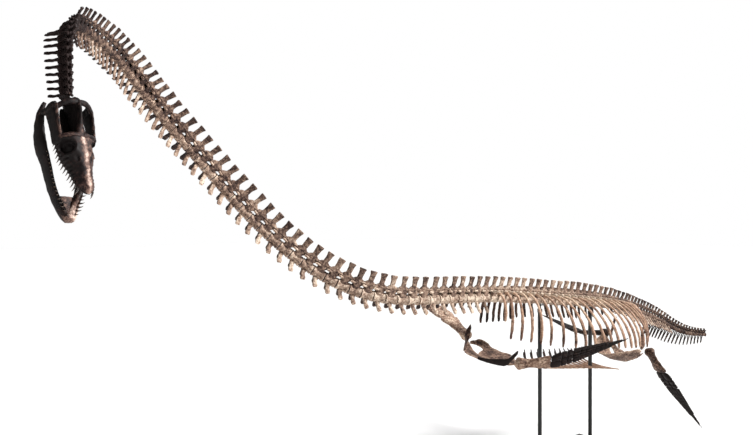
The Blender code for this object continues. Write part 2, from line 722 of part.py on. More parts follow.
def make_skull(collection, cutters):
    """The skull with its two temple openings, its eye sockets and the upper teeth."""
    builder, _ = loft([skull_ring(*section) for section in SKULL_SECTIONS])
    skull = finish_mesh("skull", builder, DARK_BONE, collection)
    for side, word in ((1, "left"), (-1, "right")):
        for word_of, (ahead, up, out, lean_up, lean_out, *sizes) in OPENINGS.items():
            centre = skull_place(ahead, up, side * out)
            axis = SKULL_TOP * lean_up + SKULL_LEFT * (side * lean_out)
            tool = cutter_tube("cut_%s_%s" % (word_of, word), centre, axis, sizes, cutters)
            apply_boolean(skull, tool, "DIFFERENCE")
    spots = []
    for ahead in np.linspace(*UPPER_TEETH):
        for side in (1, -1):
            wide = side * section_size(ahead, SKULL_SECTIONS, 1)
            deep = section_size(ahead, SKULL_SECTIONS, 3)
            root = skull_place(ahead, TOOTH_ROOT - deep, wide * TOOTH_ROW[0])
            tip = skull_place(ahead + TOOTH_RAKE, -deep - tooth_length(ahead), wide * TOOTH_ROW[1])
            spots.append((root, tip))
    apply_boolean(skull, teeth_tool("teeth_upper", spots, cutters), "UNION")
    return skull


GAPE = math.radians(JAW_GAPE)
JAW_FORWARD = (FORWARD * math.cos(GAPE) - SKULL_TOP * math.sin(GAPE)).normalized()
JAW_TOP = (SKULL_TOP * math.cos(GAPE) + FORWARD * math.sin(GAPE)).normalized()
JAW_JOINT = (0.020, -0.092)          # ahead and up in the skull's frame


def jaw_place(ahead, up, left):
    """World point in the jaw's own frame, from the middle of the line between its joints."""
    return skull_place(JAW_JOINT[0], JAW_JOINT[1], left) + JAW_FORWARD * ahead + JAW_TOP * up


# metres ahead of the joint, outward, above, half height, half thickness
JAW_SECTIONS = (
    (-0.045, 0.070, 0.014, 0.011, 0.009), (-0.010, 0.080, -0.002, 0.021, 0.012),
    (0.060, 0.090, -0.012, 0.036, 0.013), (0.110, 0.094, -0.012, 0.042, 0.013),
    (0.166, 0.096, -0.002, 0.045, 0.013), (0.246, 0.085, 0.006, 0.036, 0.013),
    (0.333, 0.070, 0.003, 0.030, 0.014), (0.401, 0.050, -0.002, 0.026, 0.016),
    (0.455, 0.026, -0.004, 0.025, 0.019),
)


def make_jaw(collection, cutters):
    """The lower jaw: two branches that meet at the chin, with its teeth."""
    path = list(JAW_SECTIONS) + [JAW_CHIN]
    both = path + [(row[0], -row[1], *row[2:]) for row in path[-2::-1]]
    centres = [jaw_place(row[0], row[2], row[1]) for row in both]
    rings = []
    for k, (centre, row) in enumerate(zip(centres, both)):
        high, thick = row[3:]
        run = (centres[min(k + 1, len(both) - 1)] - centres[max(k - 1, 0)]).normalized()
        across = run.cross(JAW_TOP).normalized()
        ring = []
        for n in range(6):
            angle = math.tau * n / 6
            offset = JAW_TOP * (high * math.sin(angle)) + across * (thick * math.cos(angle))
            ring.append(centre + offset)
        rings.append(ring)
    builder, _ = loft(rings)
    jaw = finish_mesh("mandible", builder, DARK_BONE, collection)
    spots = []
    for ahead in np.linspace(*LOWER_TEETH):
        for side in (1, -1):
            wide = section_size(ahead, JAW_SECTIONS, 1)
            high = section_size(ahead, JAW_SECTIONS, 2) + section_size(ahead, JAW_SECTIONS, 3)
            root = jaw_place(ahead, high - TOOTH_ROOT, side * wide)
            tip = jaw_place(ahead + TOOTH_RAKE, high + tooth_length(ahead), side * wide)
            spots.append((root, tip))
    apply_boolean(jaw, teeth_tool("teeth_lower", spots, cutters), "UNION")
    return jaw


# ---------------------------------------------------------------- stand

def make_base(collection):
    """A flat plinth with softened edges."""
    bpy.ops.mesh.primitive_cube_add(size=1.0, location=(0, 0, BASE_SIZE[2] / 2))
    base = bpy.context.object
    base.name = "stand_base"
    base.data.transform(Matrix.Diagonal((*BASE_SIZE, 1.0)))
    bevel = base.modifiers.new("edge", "BEVEL")
    bevel.width = BASE_EDGE
    bevel.segments = 1
    base.data.materials.append(own_material("stand_base", STAND_PAINT, 0.5))
    for old in list(base.users_collection):
        old.objects.unlink(base)
    collection.objects.link(base)
    return base


def make_rod(name, s, collection, cutters):
    """A post from the base to a small saddle under one vertebra."""
    t, u, w = axes(s)
    drop = along(s, CENTRUM_RADIUS) * math.cos(math.pi / 6) + TOUCH + SADDLE[2] / 2
    centre = place(s, -drop)
    saddle = bmesh.new()
    bmesh.ops.create_cube(saddle, size=1.0)
    for vert in saddle.verts:
        x, y, z = vert.co
        vert.co = centre + t * (x * SADDLE[0]) + w * (y * SADDLE[1]) + u * (z * SADDLE[2])
    tool = tool_mesh("saddle_" + name, saddle, cutters)
    bottom = BASE_SIZE[2] + TOUCH
    height = centre.z - bottom
    rod = bmesh.new()
    middle = Matrix.Translation((centre.x, centre.y, bottom + height / 2))
    bmesh.ops.create_cone(rod, cap_ends=True, segments=ROD_SIDES, radius1=ROD_RADIUS, radius2=ROD_RADIUS,
                          depth=height, matrix=middle)
    item = finish_mesh(name, rod, STAND_PAINT, collection, metallic=0.6)
    apply_boolean(item, tool, "UNION")
    return item


# ---------------------------------------------------------------- assembly

NECK_LENGTHS = ((1, 8), (9, 16), (17, 24), (25, 32), (33, 40), (41, 48), (49, 55), (56, 62))
BACK_LENGTHS = ((63, 65), (66, 73), (74, 81), (82, 88))
TAIL_LENGTHS = ((92, 97), (98, 103), (104, 109), (110, 115))
LAST_TAIL_RIBS = 104      # tail lengths that start at this vertebra or later have no ribs


def main():
    clear_scene()
    parts = new_collection("plesiosaur_skeleton")
    cutters = new_collection("cutters")
    make_skull(parts, cutters)
    make_jaw(parts, cutters)
    for number, (first, last) in enumerate(NECK_LENGTHS, 1):
        column_length("neck_%d" % number, first, last, parts, ribs=True)
    for number, (first, last) in enumerate(BACK_LENGTHS, 1):
        column_length("back_%d" % number, first, last, parts, ribs=last < RIB_SPAN[0])
    column_length("sacrum", 89, 91, parts, ribs=True)
    for number, (first, last) in enumerate(TAIL_LENGTHS, 1):
        with_ribs = first < LAST_TAIL_RIBS
        column_length("tail_%d" % number, first, last, parts, ribs=with_ribs, chevrons=True)
    for side, word in ((1, "left"), (-1, "right")):
        rib_cage_side("rib_cage_" + word, side, parts)
        plate_bone("coracoid_" + word, CORACOID, SHOULDER_ANCHOR, side, shoulder_level, parts)
        make_scapula("scapula_" + word, side, parts, cutters)
        plate_bone("pubis_" + word, PUBIS, HIP_ANCHOR, side, hip_level, parts)
        plate_bone("ischium_" + word, ISCHIUM, HIP_ANCHOR, side, hip_level, parts)
        finish_mesh("ilium_" + word, tapered_bar(ILIUM, side), BONE, parts)
    belly_basket("belly_ribs", parts)
    for label, (root, elbow, tip, chord) in LIMBS.items():
        limb(label, root, elbow, tip, chord, parts)
    make_base(parts)
    make_rod("stand_rod_front", ROD_AT[0], parts, cutters)
    make_rod("stand_rod_rear", ROD_AT[1], parts, cutters)


main()
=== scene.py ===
"""The looks of a mounted long-necked plesiosaur skeleton (an elasmosaur) on its display stand.

Metres, +Z up. The trunk lies along X with the head end toward -X, and the animal's left side
faces -Y. Every bone is worked out as whole numpy arrays: a body is a stack of rings, kept as an
array (bodies, rings, sides, 3), and each function says in words how its rings are found.
"""
import math

import bpy
import numpy as np
from mathutils import Matrix, Vector


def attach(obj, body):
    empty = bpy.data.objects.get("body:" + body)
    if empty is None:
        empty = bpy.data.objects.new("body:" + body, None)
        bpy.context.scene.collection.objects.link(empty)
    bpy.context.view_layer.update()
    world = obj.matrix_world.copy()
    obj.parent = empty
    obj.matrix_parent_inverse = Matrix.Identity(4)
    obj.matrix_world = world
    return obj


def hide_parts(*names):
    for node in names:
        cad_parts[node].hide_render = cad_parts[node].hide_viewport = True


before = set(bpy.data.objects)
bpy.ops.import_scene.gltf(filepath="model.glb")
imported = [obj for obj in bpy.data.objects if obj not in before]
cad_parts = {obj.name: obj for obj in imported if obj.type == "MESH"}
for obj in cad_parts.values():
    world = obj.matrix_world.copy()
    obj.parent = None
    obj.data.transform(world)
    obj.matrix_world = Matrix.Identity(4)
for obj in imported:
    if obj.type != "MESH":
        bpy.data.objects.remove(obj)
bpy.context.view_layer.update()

TAU = 2.0 * math.pi
SIDES = ((1, "left"), (-1, "right"))

# ---------------------------------------------------------------- the backbone's own sizes

# vertebra number, x, y, z. 0 is the skull joint, 1-62 the neck, 63-65 the shoulders, 66-88 the
# back, 89-91 the hips and 92-115 the tail.
SPINE_STATIONS = np.array((
    (0, -5.25, -1.18, 3.48), (6, -5.23, -1.038, 3.714), (10, -5.196, -0.894, 3.876),
    (14, -5.102, -0.689, 3.977), (18, -4.971, -0.444, 4.009), (25, -4.68, 0.04, 3.98),
    (32, -4.28, 0.48, 3.74), (39, -3.76, 0.63, 3.25), (46, -3.19, 0.52, 2.67),
    (53, -2.50, 0.25, 2.25), (60, -1.69, 0.11, 2.16), (67, -0.90, 0.10, 2.11),
    (75, -0.05, 0.02, 2.02), (83, 0.79, -0.02, 1.92), (91, 1.57, 0.05, 1.77),
    (100, 2.26, 0.08, 1.57), (108, 2.68, -0.03, 1.38), (115, 2.975, -0.18, 1.33),
))
FIRST_RIB, LAST_RIB = 66, 88
FIRST_HIP = 89
LAST_TAIL_RIB = 103
TRUNK_BANK = 13.0         # degrees, left side down
# Degrees that the vertebrae of the neck are rolled about the backbone.
ROLL_AT = (0, 6, 10, 13, 16, 20, 24, 28)
NECK_ROLL = (-14.0, -16.0, -12.0, -26.0, -25.0, -19.0, -13.0, 0.0)

# By vertebra: the centrum's radius, the height of the neural spine above the centrum's middle,
# the length of its tip as a share of the vertebra's, and a rib's reach beyond the centrum.
AT = (1, 13, 25, 40, 52, 62, 78, 90, 103, 115)
CENTRUM_RADIUS = (0.025, 0.031, 0.038, 0.047, 0.054, 0.056, 0.056, 0.050, 0.038, 0.030)
SPINE_HEIGHT = (0.050, 0.112, 0.155, 0.215, 0.225, 0.225, 0.235, 0.175, 0.125, 0.080)
SPINE_TIP = (0.50, 0.52, 0.54, 0.54, 0.54, 0.60, 0.74, 0.74, 0.74, 0.70)
RIB_REACH = (0.050, 0.075, 0.100, 0.085, 0.072, 0.100, 0.110, 0.150, 0.110, 0.030)
NECK_RIB_DROOP = 1.50     # metres down for a metre out
TAIL_RIB_DROOP = 0.75
NECK_RIB_SWEEP = 0.25     # how far back a neck rib's tip lies, in vertebra lengths
CHEVRON_AT = (97, 104, 114)
CHEVRON_DEPTH = (0.270, 0.230, 0.120)

RIB_WIDTH = 0.036
RIB_THICK = 0.021
FLANK_LEFT = 0.058
FLANK_UP = 0.076
# Where the tips of the trunk ribs lie: metres out, back and down from their vertebra.
RIB_TIP_AT = (66, 67, 69, 71, 73, 76, 80, 84, 86, 88)
RIB_TIP_OUT = (0.21, 0.23, 0.30, 0.37, 0.47, 0.49, 0.49, 0.47, 0.38, 0.22)
RIB_TIP_BACK = (0.06, 0.075, 0.10, 0.11, 0.17, 0.29, 0.35, 0.33, 0.30, 0.25)
RIB_TIP_DOWN = (0.18, 0.365, 0.375, 0.385, 0.37, 0.36, 0.36, 0.34, 0.26, 0.13)
# A rib's way to its tip as shares (out, back, down), and the knots of those rows along it.
RIB_PATH = ((0.0, 0.0, 0.0), (0.30, 0.02, -0.02), (0.72, 0.22, 0.16), (0.98, 0.58, 0.55),
            (1.00, 1.00, 1.00))
RIB_KNOTS = (0, 0.16, 0.42, 0.70, 1.0)
RIB_HEAD = 0.085          # where on that way the rib begins

BELLY_SPAN = (73.6, 84.4)
BELLY_ROW_SPACING = 1.05
# How wide the rows of belly ribs are, by vertebra.
BELLY_SHARE_AT = (73, 79, 85)
BELLY_SHARE = (0.92, 1.0, 1.15)

# ---------------------------------------------------------------- curves


def unit(v):
    """Vectors scaled to length 1."""
    return v / np.maximum(np.linalg.norm(v, axis=-1, keepdims=True), 1e-12)


def square_to(v, run):
    """The unit direction nearest to v that is square to the unit direction run."""
    return unit(v - run * (v * run).sum(-1, keepdims=True))


def bends_of(knots, values):
    """Second derivatives of the natural cubic spline through values at the knots."""
    count = len(knots)
    steps = np.diff(knots)
    slopes = np.diff(values, axis=0) / steps[:, None]
    system = np.eye(count)
    right = np.zeros_like(values)
    for row in range(1, count - 1):
        before, after = steps[row - 1:row + 1]
        system[row, row - 1:row + 2] = (before, 2.0 * (before + after), after)
        right[row] = 6.0 * (slopes[row] - slopes[row - 1])
    return np.linalg.solve(system, right)


def spline(knots, values, at):
    """The natural cubic spline through values (k, anything), read at the numbers in at."""
    knots = np.asarray(knots, float)
    values = np.asarray(values, float)
    flat = values.reshape(len(knots), -1)
    bends = bends_of(knots, flat)
    at = np.asarray(at, float)
    where = at.reshape(-1)
    span = np.clip(np.searchsorted(knots, where) - 1, 0, len(knots) - 2)
    step = (knots[span + 1] - knots[span])[:, None]
    ahead = (knots[span + 1] - where)[:, None] / step
    behind = (where - knots[span])[:, None] / step
    found = ahead * flat[span] + behind * flat[span + 1]
    bent = (ahead ** 3 - ahead) * bends[span] + (behind ** 3 - behind) * bends[span + 1]
    return (found + bent * step ** 2 / 6).reshape(at.shape + values.shape[1:])


def eased(x, xs, ys):
    """A cubic Hermite curve through (xs, ys) whose slopes are the central differences."""
    x, xs, ys = np.asarray(x, float), np.asarray(xs, float), np.asarray(ys, float)
    slopes = np.gradient(ys, xs)
    x = np.clip(x, xs[0], xs[-1])
    k = np.clip(np.searchsorted(xs, x) - 1, 0, len(xs) - 2)
    step = xs[k + 1] - xs[k]
    t = (x - xs[k]) / step
    return ((2 * t ** 3 - 3 * t ** 2 + 1) * ys[k] + (t ** 3 - 2 * t ** 2 + t) * step * slopes[k]
            + (3 * t ** 2 - 2 * t ** 3) * ys[k + 1] + (t ** 3 - t ** 2) * step * slopes[k + 1])


def backbone(s):
    """Point of the backbone curve at vertebra number s."""
    return spline(SPINE_STATIONS[:, 0], SPINE_STATIONS[:, 1:], s)


def tailward(s, reach=0.05):
    """Unit direction toward the tail, over a short reach of vertebrae on both sides."""
    s = np.asarray(s, float)
    return unit(backbone(s + reach) - backbone(s - reach))


def carried_ups():
    """The 'up' of each whole vertebra from -1 to 116, carried untwisted from the first rib."""
    first, last = -1, int(SPINE_STATIONS[-1, 0]) + 1
    ways = {s: Vector(tailward(float(s))) for s in range(first, last + 1)}
    tail = ways[FIRST_RIB]
    upright = (Vector((0, 0, 1)) - tail * tail.z).normalized()
    ups = {FIRST_RIB: Matrix.Rotation(math.radians(TRUNK_BANK), 3, tail) @ upright}
    for step in (-1, 1):
        s = FIRST_RIB
        while first <= s + step <= last:
            ups[s + step] = ways[s].rotation_difference(ways[s + step]) @ ups[s]
            s += step
    return np.array([ups[s] for s in range(first, last + 1)])


UPS = carried_ups()


def axes(s):
    """Unit vectors (toward the tail, up, left) at vertebra s."""
    s = np.asarray(s, float)
    tail = tailward(s)
    low = np.floor(s).astype(int)
    part = (s - low)[..., None]
    up = UPS[low + 1] * (1 - part) + UPS[np.minimum(low + 2, len(UPS) - 1)] * part
    up = square_to(up, tail)
    roll = np.radians(np.interp(s, ROLL_AT, NECK_ROLL))[..., None]
    up = up * np.cos(roll) + np.cross(tail, up) * np.sin(roll)
    return tail, up, np.cross(tail, up)


def place(s, up=0.0, left=0.0, tail=0.0):
    """World points at vertebra s, offset in metres up, left and toward the tail."""
    s, up, left, tail = np.broadcast_arrays(*(np.asarray(v, float) for v in (s, up, left, tail)))
    t, u, w = axes(s)
    return backbone(s) + u * up[..., None] + w * left[..., None] + t * tail[..., None]


def vertebra_length(s):
    """Distance between neighbouring vertebrae at s."""
    s = np.asarray(s, float)
    return np.linalg.norm(backbone(s + 0.5) - backbone(s - 0.5), axis=-1)


def sized(s, sizes):
    """A size that changes along the backbone."""
    return np.interp(s, AT, sizes)


# ---------------------------------------------------------------- rings and meshes

def oval(sides, wide, thick, power=1.0):
    """A ring of offsets: wide * cos and thick * sin, each raised to a power below 1 for a squarer
    section and above 1 for a sharper one."""
    angle = TAU * np.arange(sides) / sides
    c, s = np.cos(angle), np.sin(angle)
    x = np.sign(c) * np.abs(c) ** power
    y = np.sign(s) * np.abs(s) ** power
    return wide[..., None] * x, thick[..., None] * y


def ringed(centre, across, other, x, y):
    """Ring points: centre + across * x + other * y, with centres and directions (..., 3) and
    offsets (..., sides)."""
    return (centre[..., None, :] + across[..., None, :] * x[..., None]
            + other[..., None, :] * y[..., None])


def grained(along, x, y):
    """The grain of ring points: the way along the bone and the two offsets across it."""
    return np.stack([np.broadcast_to(along[..., None], x.shape), x, y], -1)


def tube(path, hint, wide, thick, sides, power=1.0):
    """A profile carried along a path (bodies, rings, 3). Each ring is an oval, wide along the hint
    direction made square to the path, and thick across it. Gives (rings, grain)."""
    path = np.asarray(path, float)
    if path.ndim == 2:
        path = path[None]
    run = unit(np.gradient(path, axis=-2))
    across = square_to(np.broadcast_to(hint, path.shape), run)
    wide = np.broadcast_to(wide, path.shape[:-1])
    thick = np.broadcast_to(thick, path.shape[:-1])
    x, y = oval(sides, wide, thick, power)
    steps = np.linalg.norm(np.diff(path, axis=-2), axis=-1)
    along = np.concatenate([np.zeros(steps.shape[:-1] + (1,)), np.cumsum(steps, -1)], -1)
    return ringed(path, across, np.cross(run, across), x, y), grained(along, x, y)


def ends(count, first=0.45, last=0.45, reach=0.10):
    """Ring positions 0..1, crowded at both ends, and a size factor that rounds the two ends over
    the reach, starting from the shares first and last."""
    t = 0.5 - 0.5 * np.cos(np.pi * np.linspace(0, 1, count))
    start, finish = (np.sqrt(np.clip(1 - (1 - np.clip(way / reach, 0, 1)) ** 2, 0, 1))
                     for way in (t, 1 - t))
    return t, (first + (1 - first) * start) * (last + (1 - last) * finish)


def bar_along(centres, sizes, hint, count, first, last, sides, power):
    """A bar on the spline through centres, with rounded ends. The oval section's half width, which
    lies along the hint, and its half thickness are eased between the rows of sizes."""
    knots = np.linspace(0, 1, len(centres))
    t, shrink = ends(count, first, last)
    wide, thick = (shrink * eased(t, knots, sizes[:, k]) for k in (0, 1))
    return tube(spline(knots, centres, t), hint, wide, thick, sides, power)


# How uneven each kind of bone is: metres of shift, metres across a wave, and the seed.
UNEVEN = {
    "centrum": (0.0014, 0.045, 11), "neural_spine": (0.0016, 0.060, 23),
    "neck_rib": (0.0014, 0.04, 31), "trunk_rib": (0.002, 0.09, 41), "plate": (0.0025, 0.11, 53),
    "blade": (0.0015, 0.07, 59), "ilium": (0.002, 0.07, 61), "upper_bone": (0.003, 0.09, 80),
    "finger_bone": (0.001, 0.03, 90), "face": (0.0011, 0.040, 71), "skull_bar": (0.0010, 0.035, 73),
    "jaw": (0.0012, 0.045, 79), "chin": (0.0012, 0.03, 83),
}


def uneven(points, kind, number=0):
    """Small smooth shifts of points: three crossed sine waves whose phases come from the kind's
    seed and the bone's number."""
    size, scale, seed = UNEVEN[kind]
    turn = np.random.default_rng(seed + number).uniform(0, TAU, (3, 3))
    k = TAU / scale
    x, y, z = points[..., 0], points[..., 1], points[..., 2]
    shift = np.stack([
        np.sin(k * y + turn[0, 0]) * np.sin(k * 0.83 * z + turn[0, 1]),
        np.sin(k * z + turn[1, 0]) * np.sin(k * 0.91 * x + turn[1, 1]),
        np.sin(k * x + turn[2, 0]) * np.sin(k * 0.77 * y + turn[2, 1]),
    ], -1)
    return points + size * shift


class Bones:
    """Closed ring bodies gathered for one piece, with the grain and the tone of every point."""

    def __init__(self):
        self.points, self.grains, self.tones = [], [], []
        self.fours, self.threes = [], []
        self.total = 0

    def add(self, rings, grain=None, tone=0.7):
        """Close each stack of rings at both ends with a fan, turn its faces outward and keep it.
        Gives the gathering itself."""
        rings = np.asarray(rings, float)
        count, sides = rings.shape[-3:-1]
        rings = rings.reshape(-1, count, sides, 3)
        bodies = len(rings)
        grain = np.zeros_like(rings) if grain is None else np.broadcast_to(grain, rings.shape)
        tone = np.asarray(tone, float)
        if tone.ndim == 1:
            tone = tone[:, None, None]
        tone = np.broadcast_to(tone, rings.shape[:-1])

        def closed(values):
            caps = np.stack([values[:, 0].mean(1), values[:, -1].mean(1)], 1)
            return np.concatenate([values.reshape(bodies, count * sides, -1), caps], 1)

        points = closed(rings)
        i, j = np.meshgrid(np.arange(count - 1), np.arange(sides), indexing="ij")
        after = (j + 1) % sides
        fours = np.stack([i * sides + j, i * sides + after, (i + 1) * sides + after,
                          (i + 1) * sides + j], -1).reshape(-1, 4)
        k = np.arange(sides)
        turned = (k + 1) % sides
        last = (count - 1) * sides
        head = np.stack([np.full(sides, count * sides), turned, k], -1)
        foot = np.stack([np.full(sides, count * sides + 1), last + k, last + turned], -1)
        threes = np.concatenate([head, foot])
        split = np.concatenate([fours[:, [0, 1, 2]], fours[:, [0, 2, 3]], threes])
        a, b, c = (points[:, split[:, n]] - points.mean(1, keepdims=True) for n in range(3))
        inside_out = (a * np.cross(b, c)).sum((-1, -2)) < 0
        start = self.total + np.arange(bodies)[:, None, None] * points.shape[1]
        for faces, kept in ((fours, self.fours), (threes, self.threes)):
            faces = np.where(inside_out[:, None, None], faces[None, :, ::-1], faces[None]) + start
            kept.append(faces.reshape(-1, faces.shape[-1]))
        self.points.append(points.reshape(-1, 3))
        self.grains.append(closed(grain).reshape(-1, 3))
        self.tones.append(closed(tone[..., None]).reshape(-1))
        self.total += points.shape[0] * points.shape[1]
        return self

    def piece(self, name, material, nodes, slot, sharp=48.0):
        """Write the gathered bodies into one mesh object that rides on the root. Edges that turn
        more than sharp degrees are shaded as edges."""
        fours, threes = np.concatenate(self.fours), np.concatenate(self.threes)
        corners = np.concatenate([fours.reshape(-1), threes.reshape(-1)]).astype(np.int32)
        sizes = np.concatenate([np.full(len(fours), 4), np.full(len(threes), 3)])
        mesh = bpy.data.meshes.new(name)
        points = np.concatenate(self.points).astype(np.float32)
        mesh.vertices.add(len(points))
        mesh.vertices.foreach_set("co", points.reshape(-1))
        mesh.loops.add(len(corners))
        mesh.loops.foreach_set("vertex_index", corners)
        mesh.polygons.add(len(sizes))
        mesh.polygons.foreach_set("loop_start", (np.cumsum(sizes) - sizes).astype(np.int32))
        mesh.update(calc_edges=True)
        for key, kind, field, values in (("grain", "FLOAT_VECTOR", "vector", self.grains),
                                         ("tone", "FLOAT", "value", self.tones)):
            values = np.concatenate(values).astype(np.float32).reshape(-1)
            mesh.attributes.new(key, kind, "POINT").data.foreach_set(field, values)
        mesh.shade_smooth()
        mesh.set_sharp_from_angle(angle=math.radians(sharp))
        mesh.materials.append(material)
        item = bpy.data.objects.new(name, mesh)
        bpy.context.scene.collection.objects.link(item)
        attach(item, "root")
        if nodes:
            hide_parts(*nodes)


# ---------------------------------------------------------------- materials

def colour(code):
    """An sRGB hex value as linear red, green, blue, alpha."""
    parts = [int(code[k:k + 2], 16) / 255 for k in (1, 3, 5)]
    return [v / 12.92 if v <= 0.04045 else ((v + 0.055) / 1.055) ** 2.4 for v in parts] + [1.0]


def fill(tree, item, links=None, **settings):
    """Set a node's properties, or its inputs where the name starts with in_, and join other
    sockets to its inputs by name or number."""
    for name, value in settings.items():
        if name.startswith("in_"):
            key = name[3:]
            item.inputs[int(key) if key.isdigit() else key.replace("_", " ")].default_value = value
        else:
            setattr(item, name, value)
    for key, socket in (links or {}).items():
        tree.links.new(socket, item.inputs[key])


def node(tree, kind, out, links=None, stops=(), **settings):
    """Add one node with its links, its settings and a ramp's stops of (position, hex), and give
    its output of the name or number out."""
    made = tree.nodes.new("ShaderNode" + kind)
    fill(tree, made, links, **settings)
    if stops:
        bar = made.color_ramp
        while len(bar.elements) < len(stops):
            bar.elements.new(0.5)
        for element, (position, code) in zip(bar.elements, stops):
            element.position = position
            element.color = colour(code)
    return made.outputs[out]


def new_material(name):
    """An empty node material with its Principled shader."""
    material = bpy.data.materials.new(name)
    material.use_nodes = True
    tree = material.node_tree
    return material, tree, tree.nodes["Principled BSDF"]


PATCH = 0.110             # metres across a stained patch of bone
MOTTLE = 0.022            # metres across a mottled spot
FIBRE = 0.0040            # metres between two fibres of the bone's grain
FIBRE_PULL = 0.16         # how close the fibres' pattern is along the bone, against across it
PORE = 0.0050             # metres between pores: coarser than the real 0.5 mm, so that they show
STAIN_AND_SHADE_LEVELS = (0.88, 1.86)      # sums of pattern and tone for the deepest and the palest colour
RIDGES = (60.0, 900.0, 900.0)     # ridges of enamel a metre: 1.1 mm apart and 17 mm long
PEEL = 0.003              # metres between the dimples of a powder coat
SCUFF = 0.08              # metres across a scuffed place
OAK_BANDS = (1.2, 22.0, 22.0)     # bands of oak grain a metre: 45 mm apart and 0.8 m long
OAK_PORES = (12.0, 420.0, 420.0)  # its pores: 2.4 mm apart, coarser than real, so that they show


def fossil_bone(name, pale, mid, dark, deep, roughness=0.70, relief=0.0013, spots=2.0):
    """Mineralised fossil bone, cleaned and sealed: a dull stone-like surface. Its colour goes from
    pale tan on rubbed faces to grey-brown stain, in patches and mottling, with faint fibres along
    the shaft. The tone attribute carries how pale a bone is painted, from 0 (dark) to 1 (pale):
    partly its stain, and partly painted shade and painted light."""
    material, tree, shader = new_material(name)
    spot = node(tree, "TexCoord", "Object")
    along = node(tree, "Attribute", "Vector", attribute_name="grain")
    tone = node(tree, "Attribute", "Fac", attribute_name="tone")
    patch = node(tree, "TexNoise", "Fac", {"Vector": spot}, in_Scale=1 / PATCH, in_Detail=4.0,
                 in_Roughness=0.60, in_Distortion=0.5)
    mottle = node(tree, "TexNoise", "Fac", {"Vector": spot}, in_Scale=1 / MOTTLE, in_Detail=5.0,
                  in_Roughness=0.72)
    stretch = node(tree, "Mapping", "Vector", {"Vector": along},
                   in_Scale=(FIBRE_PULL / FIBRE, 1 / FIBRE, 1 / FIBRE))
    fibre = node(tree, "TexNoise", "Fac", {"Vector": stretch}, in_Scale=1.0, in_Detail=3.0,
                 in_Roughness=0.6)
    pore = node(tree, "TexVoronoi", "Distance", {"Vector": spot}, in_Scale=1 / PORE)
    paleness = node(tree, "Math", 0, {0: mottle, 2: patch}, operation="MULTIPLY_ADD", in_1=spots)
    paleness = node(tree, "Math", 0, {0: fibre, 2: paleness}, operation="MULTIPLY_ADD", in_1=0.30)
    # the stain pattern plus the tone, which carries painted shade and painted light as well as
    # stain
    shade = node(tree, "Math", 0, {0: paleness, 1: tone}, operation="ADD")
    level = node(tree, "MapRange", "Result", {"Value": shade}, in_1=STAIN_AND_SHADE_LEVELS[0] + 0.5 * spots,
                 in_2=STAIN_AND_SHADE_LEVELS[1] + 0.5 * spots)
    base = node(tree, "ValToRGB", "Color", {"Fac": level},
                ((0.0, deep), (0.32, dark), (0.66, mid), (1.0, pale)))
    pits = node(tree, "MapRange", "Result", {"Value": pore}, in_1=0.0, in_2=0.30)
    pitted = node(tree, "Mix", 2, {6: base}, data_type="RGBA", in_0=0.40, in_7=colour(deep))
    base = node(tree, "Mix", 2, {0: pits, 6: pitted, 7: base}, data_type="RGBA")
    rough = node(tree, "MapRange", "Result", {"Value": mottle}, in_1=0.25, in_2=0.8,
                 in_3=roughness - 0.10, in_4=min(roughness + 0.14, 0.95))
    height = node(tree, "Math", 0, {0: fibre, 2: mottle}, operation="MULTIPLY_ADD", in_1=0.5)
    height = node(tree, "Math", 0, {0: pits, 2: height}, operation="MULTIPLY_ADD", in_1=0.4)
    bump = node(tree, "Bump", "Normal", {"Height": height}, in_Strength=0.8, in_Distance=relief)
    fill(tree, shader, {"Base Color": base, "Roughness": rough, "Normal": bump}, in_IOR=1.50,
         in_Specular_IOR_Level=0.24)
    return material


def tooth_enamel(name):
    """Fossil tooth enamel: smooth and slightly glossy, brown at the root and amber at the tip, with
    fine ridges along the crown."""
    material, tree, shader = new_material(name)
    along = node(tree, "Attribute", "Vector", attribute_name="grain")
    tone = node(tree, "Attribute", "Fac", attribute_name="tone")
    stretch = node(tree, "Mapping", "Vector", {"Vector": along}, in_Scale=RIDGES)
    ridge = node(tree, "TexNoise", "Fac", {"Vector": stretch}, in_Scale=1.0, in_Detail=2.0)
    level = node(tree, "Math", 0, {0: ridge, 2: tone}, operation="MULTIPLY_ADD", in_1=0.35)
    base = node(tree, "ValToRGB", "Color", {"Fac": level},
                ((0.10, "#120B0A"), (0.60, "#33251F"), (1.0, "#76614F")))
    bump = node(tree, "Bump", "Normal", {"Height": ridge}, in_Strength=0.4, in_Distance=0.0004)
    fill(tree, shader, {"Base Color": base, "Normal": bump}, in_Roughness=0.38, in_IOR=1.60)
    return material


def coated_steel(name):
    """Steel tube and plate with a satin black powder coat: a fine orange-peel skin, lightly
    scuffed."""
    material, tree, shader = new_material(name)
    spot = node(tree, "TexCoord", "Object")
    peel = node(tree, "TexNoise", "Fac", {"Vector": spot}, in_Scale=1 / PEEL, in_Detail=2.0)
    scuff = node(tree, "TexNoise", "Fac", {"Vector": spot}, in_Scale=1 / SCUFF, in_Detail=6.0,
                 in_Roughness=0.7)
    base = node(tree, "ValToRGB", "Color", {"Fac": scuff}, ((0.35, "#131314"), (0.75, "#242425")))
    rough = node(tree, "MapRange", "Result", {"Value": scuff}, in_1=0.3, in_2=0.8, in_3=0.38,
                 in_4=0.58)
    bump = node(tree, "Bump", "Normal", {"Height": peel}, in_Strength=0.25, in_Distance=0.0004)
    fill(tree, shader, {"Base Color": base, "Roughness": rough, "Normal": bump}, in_IOR=1.50)
    return material


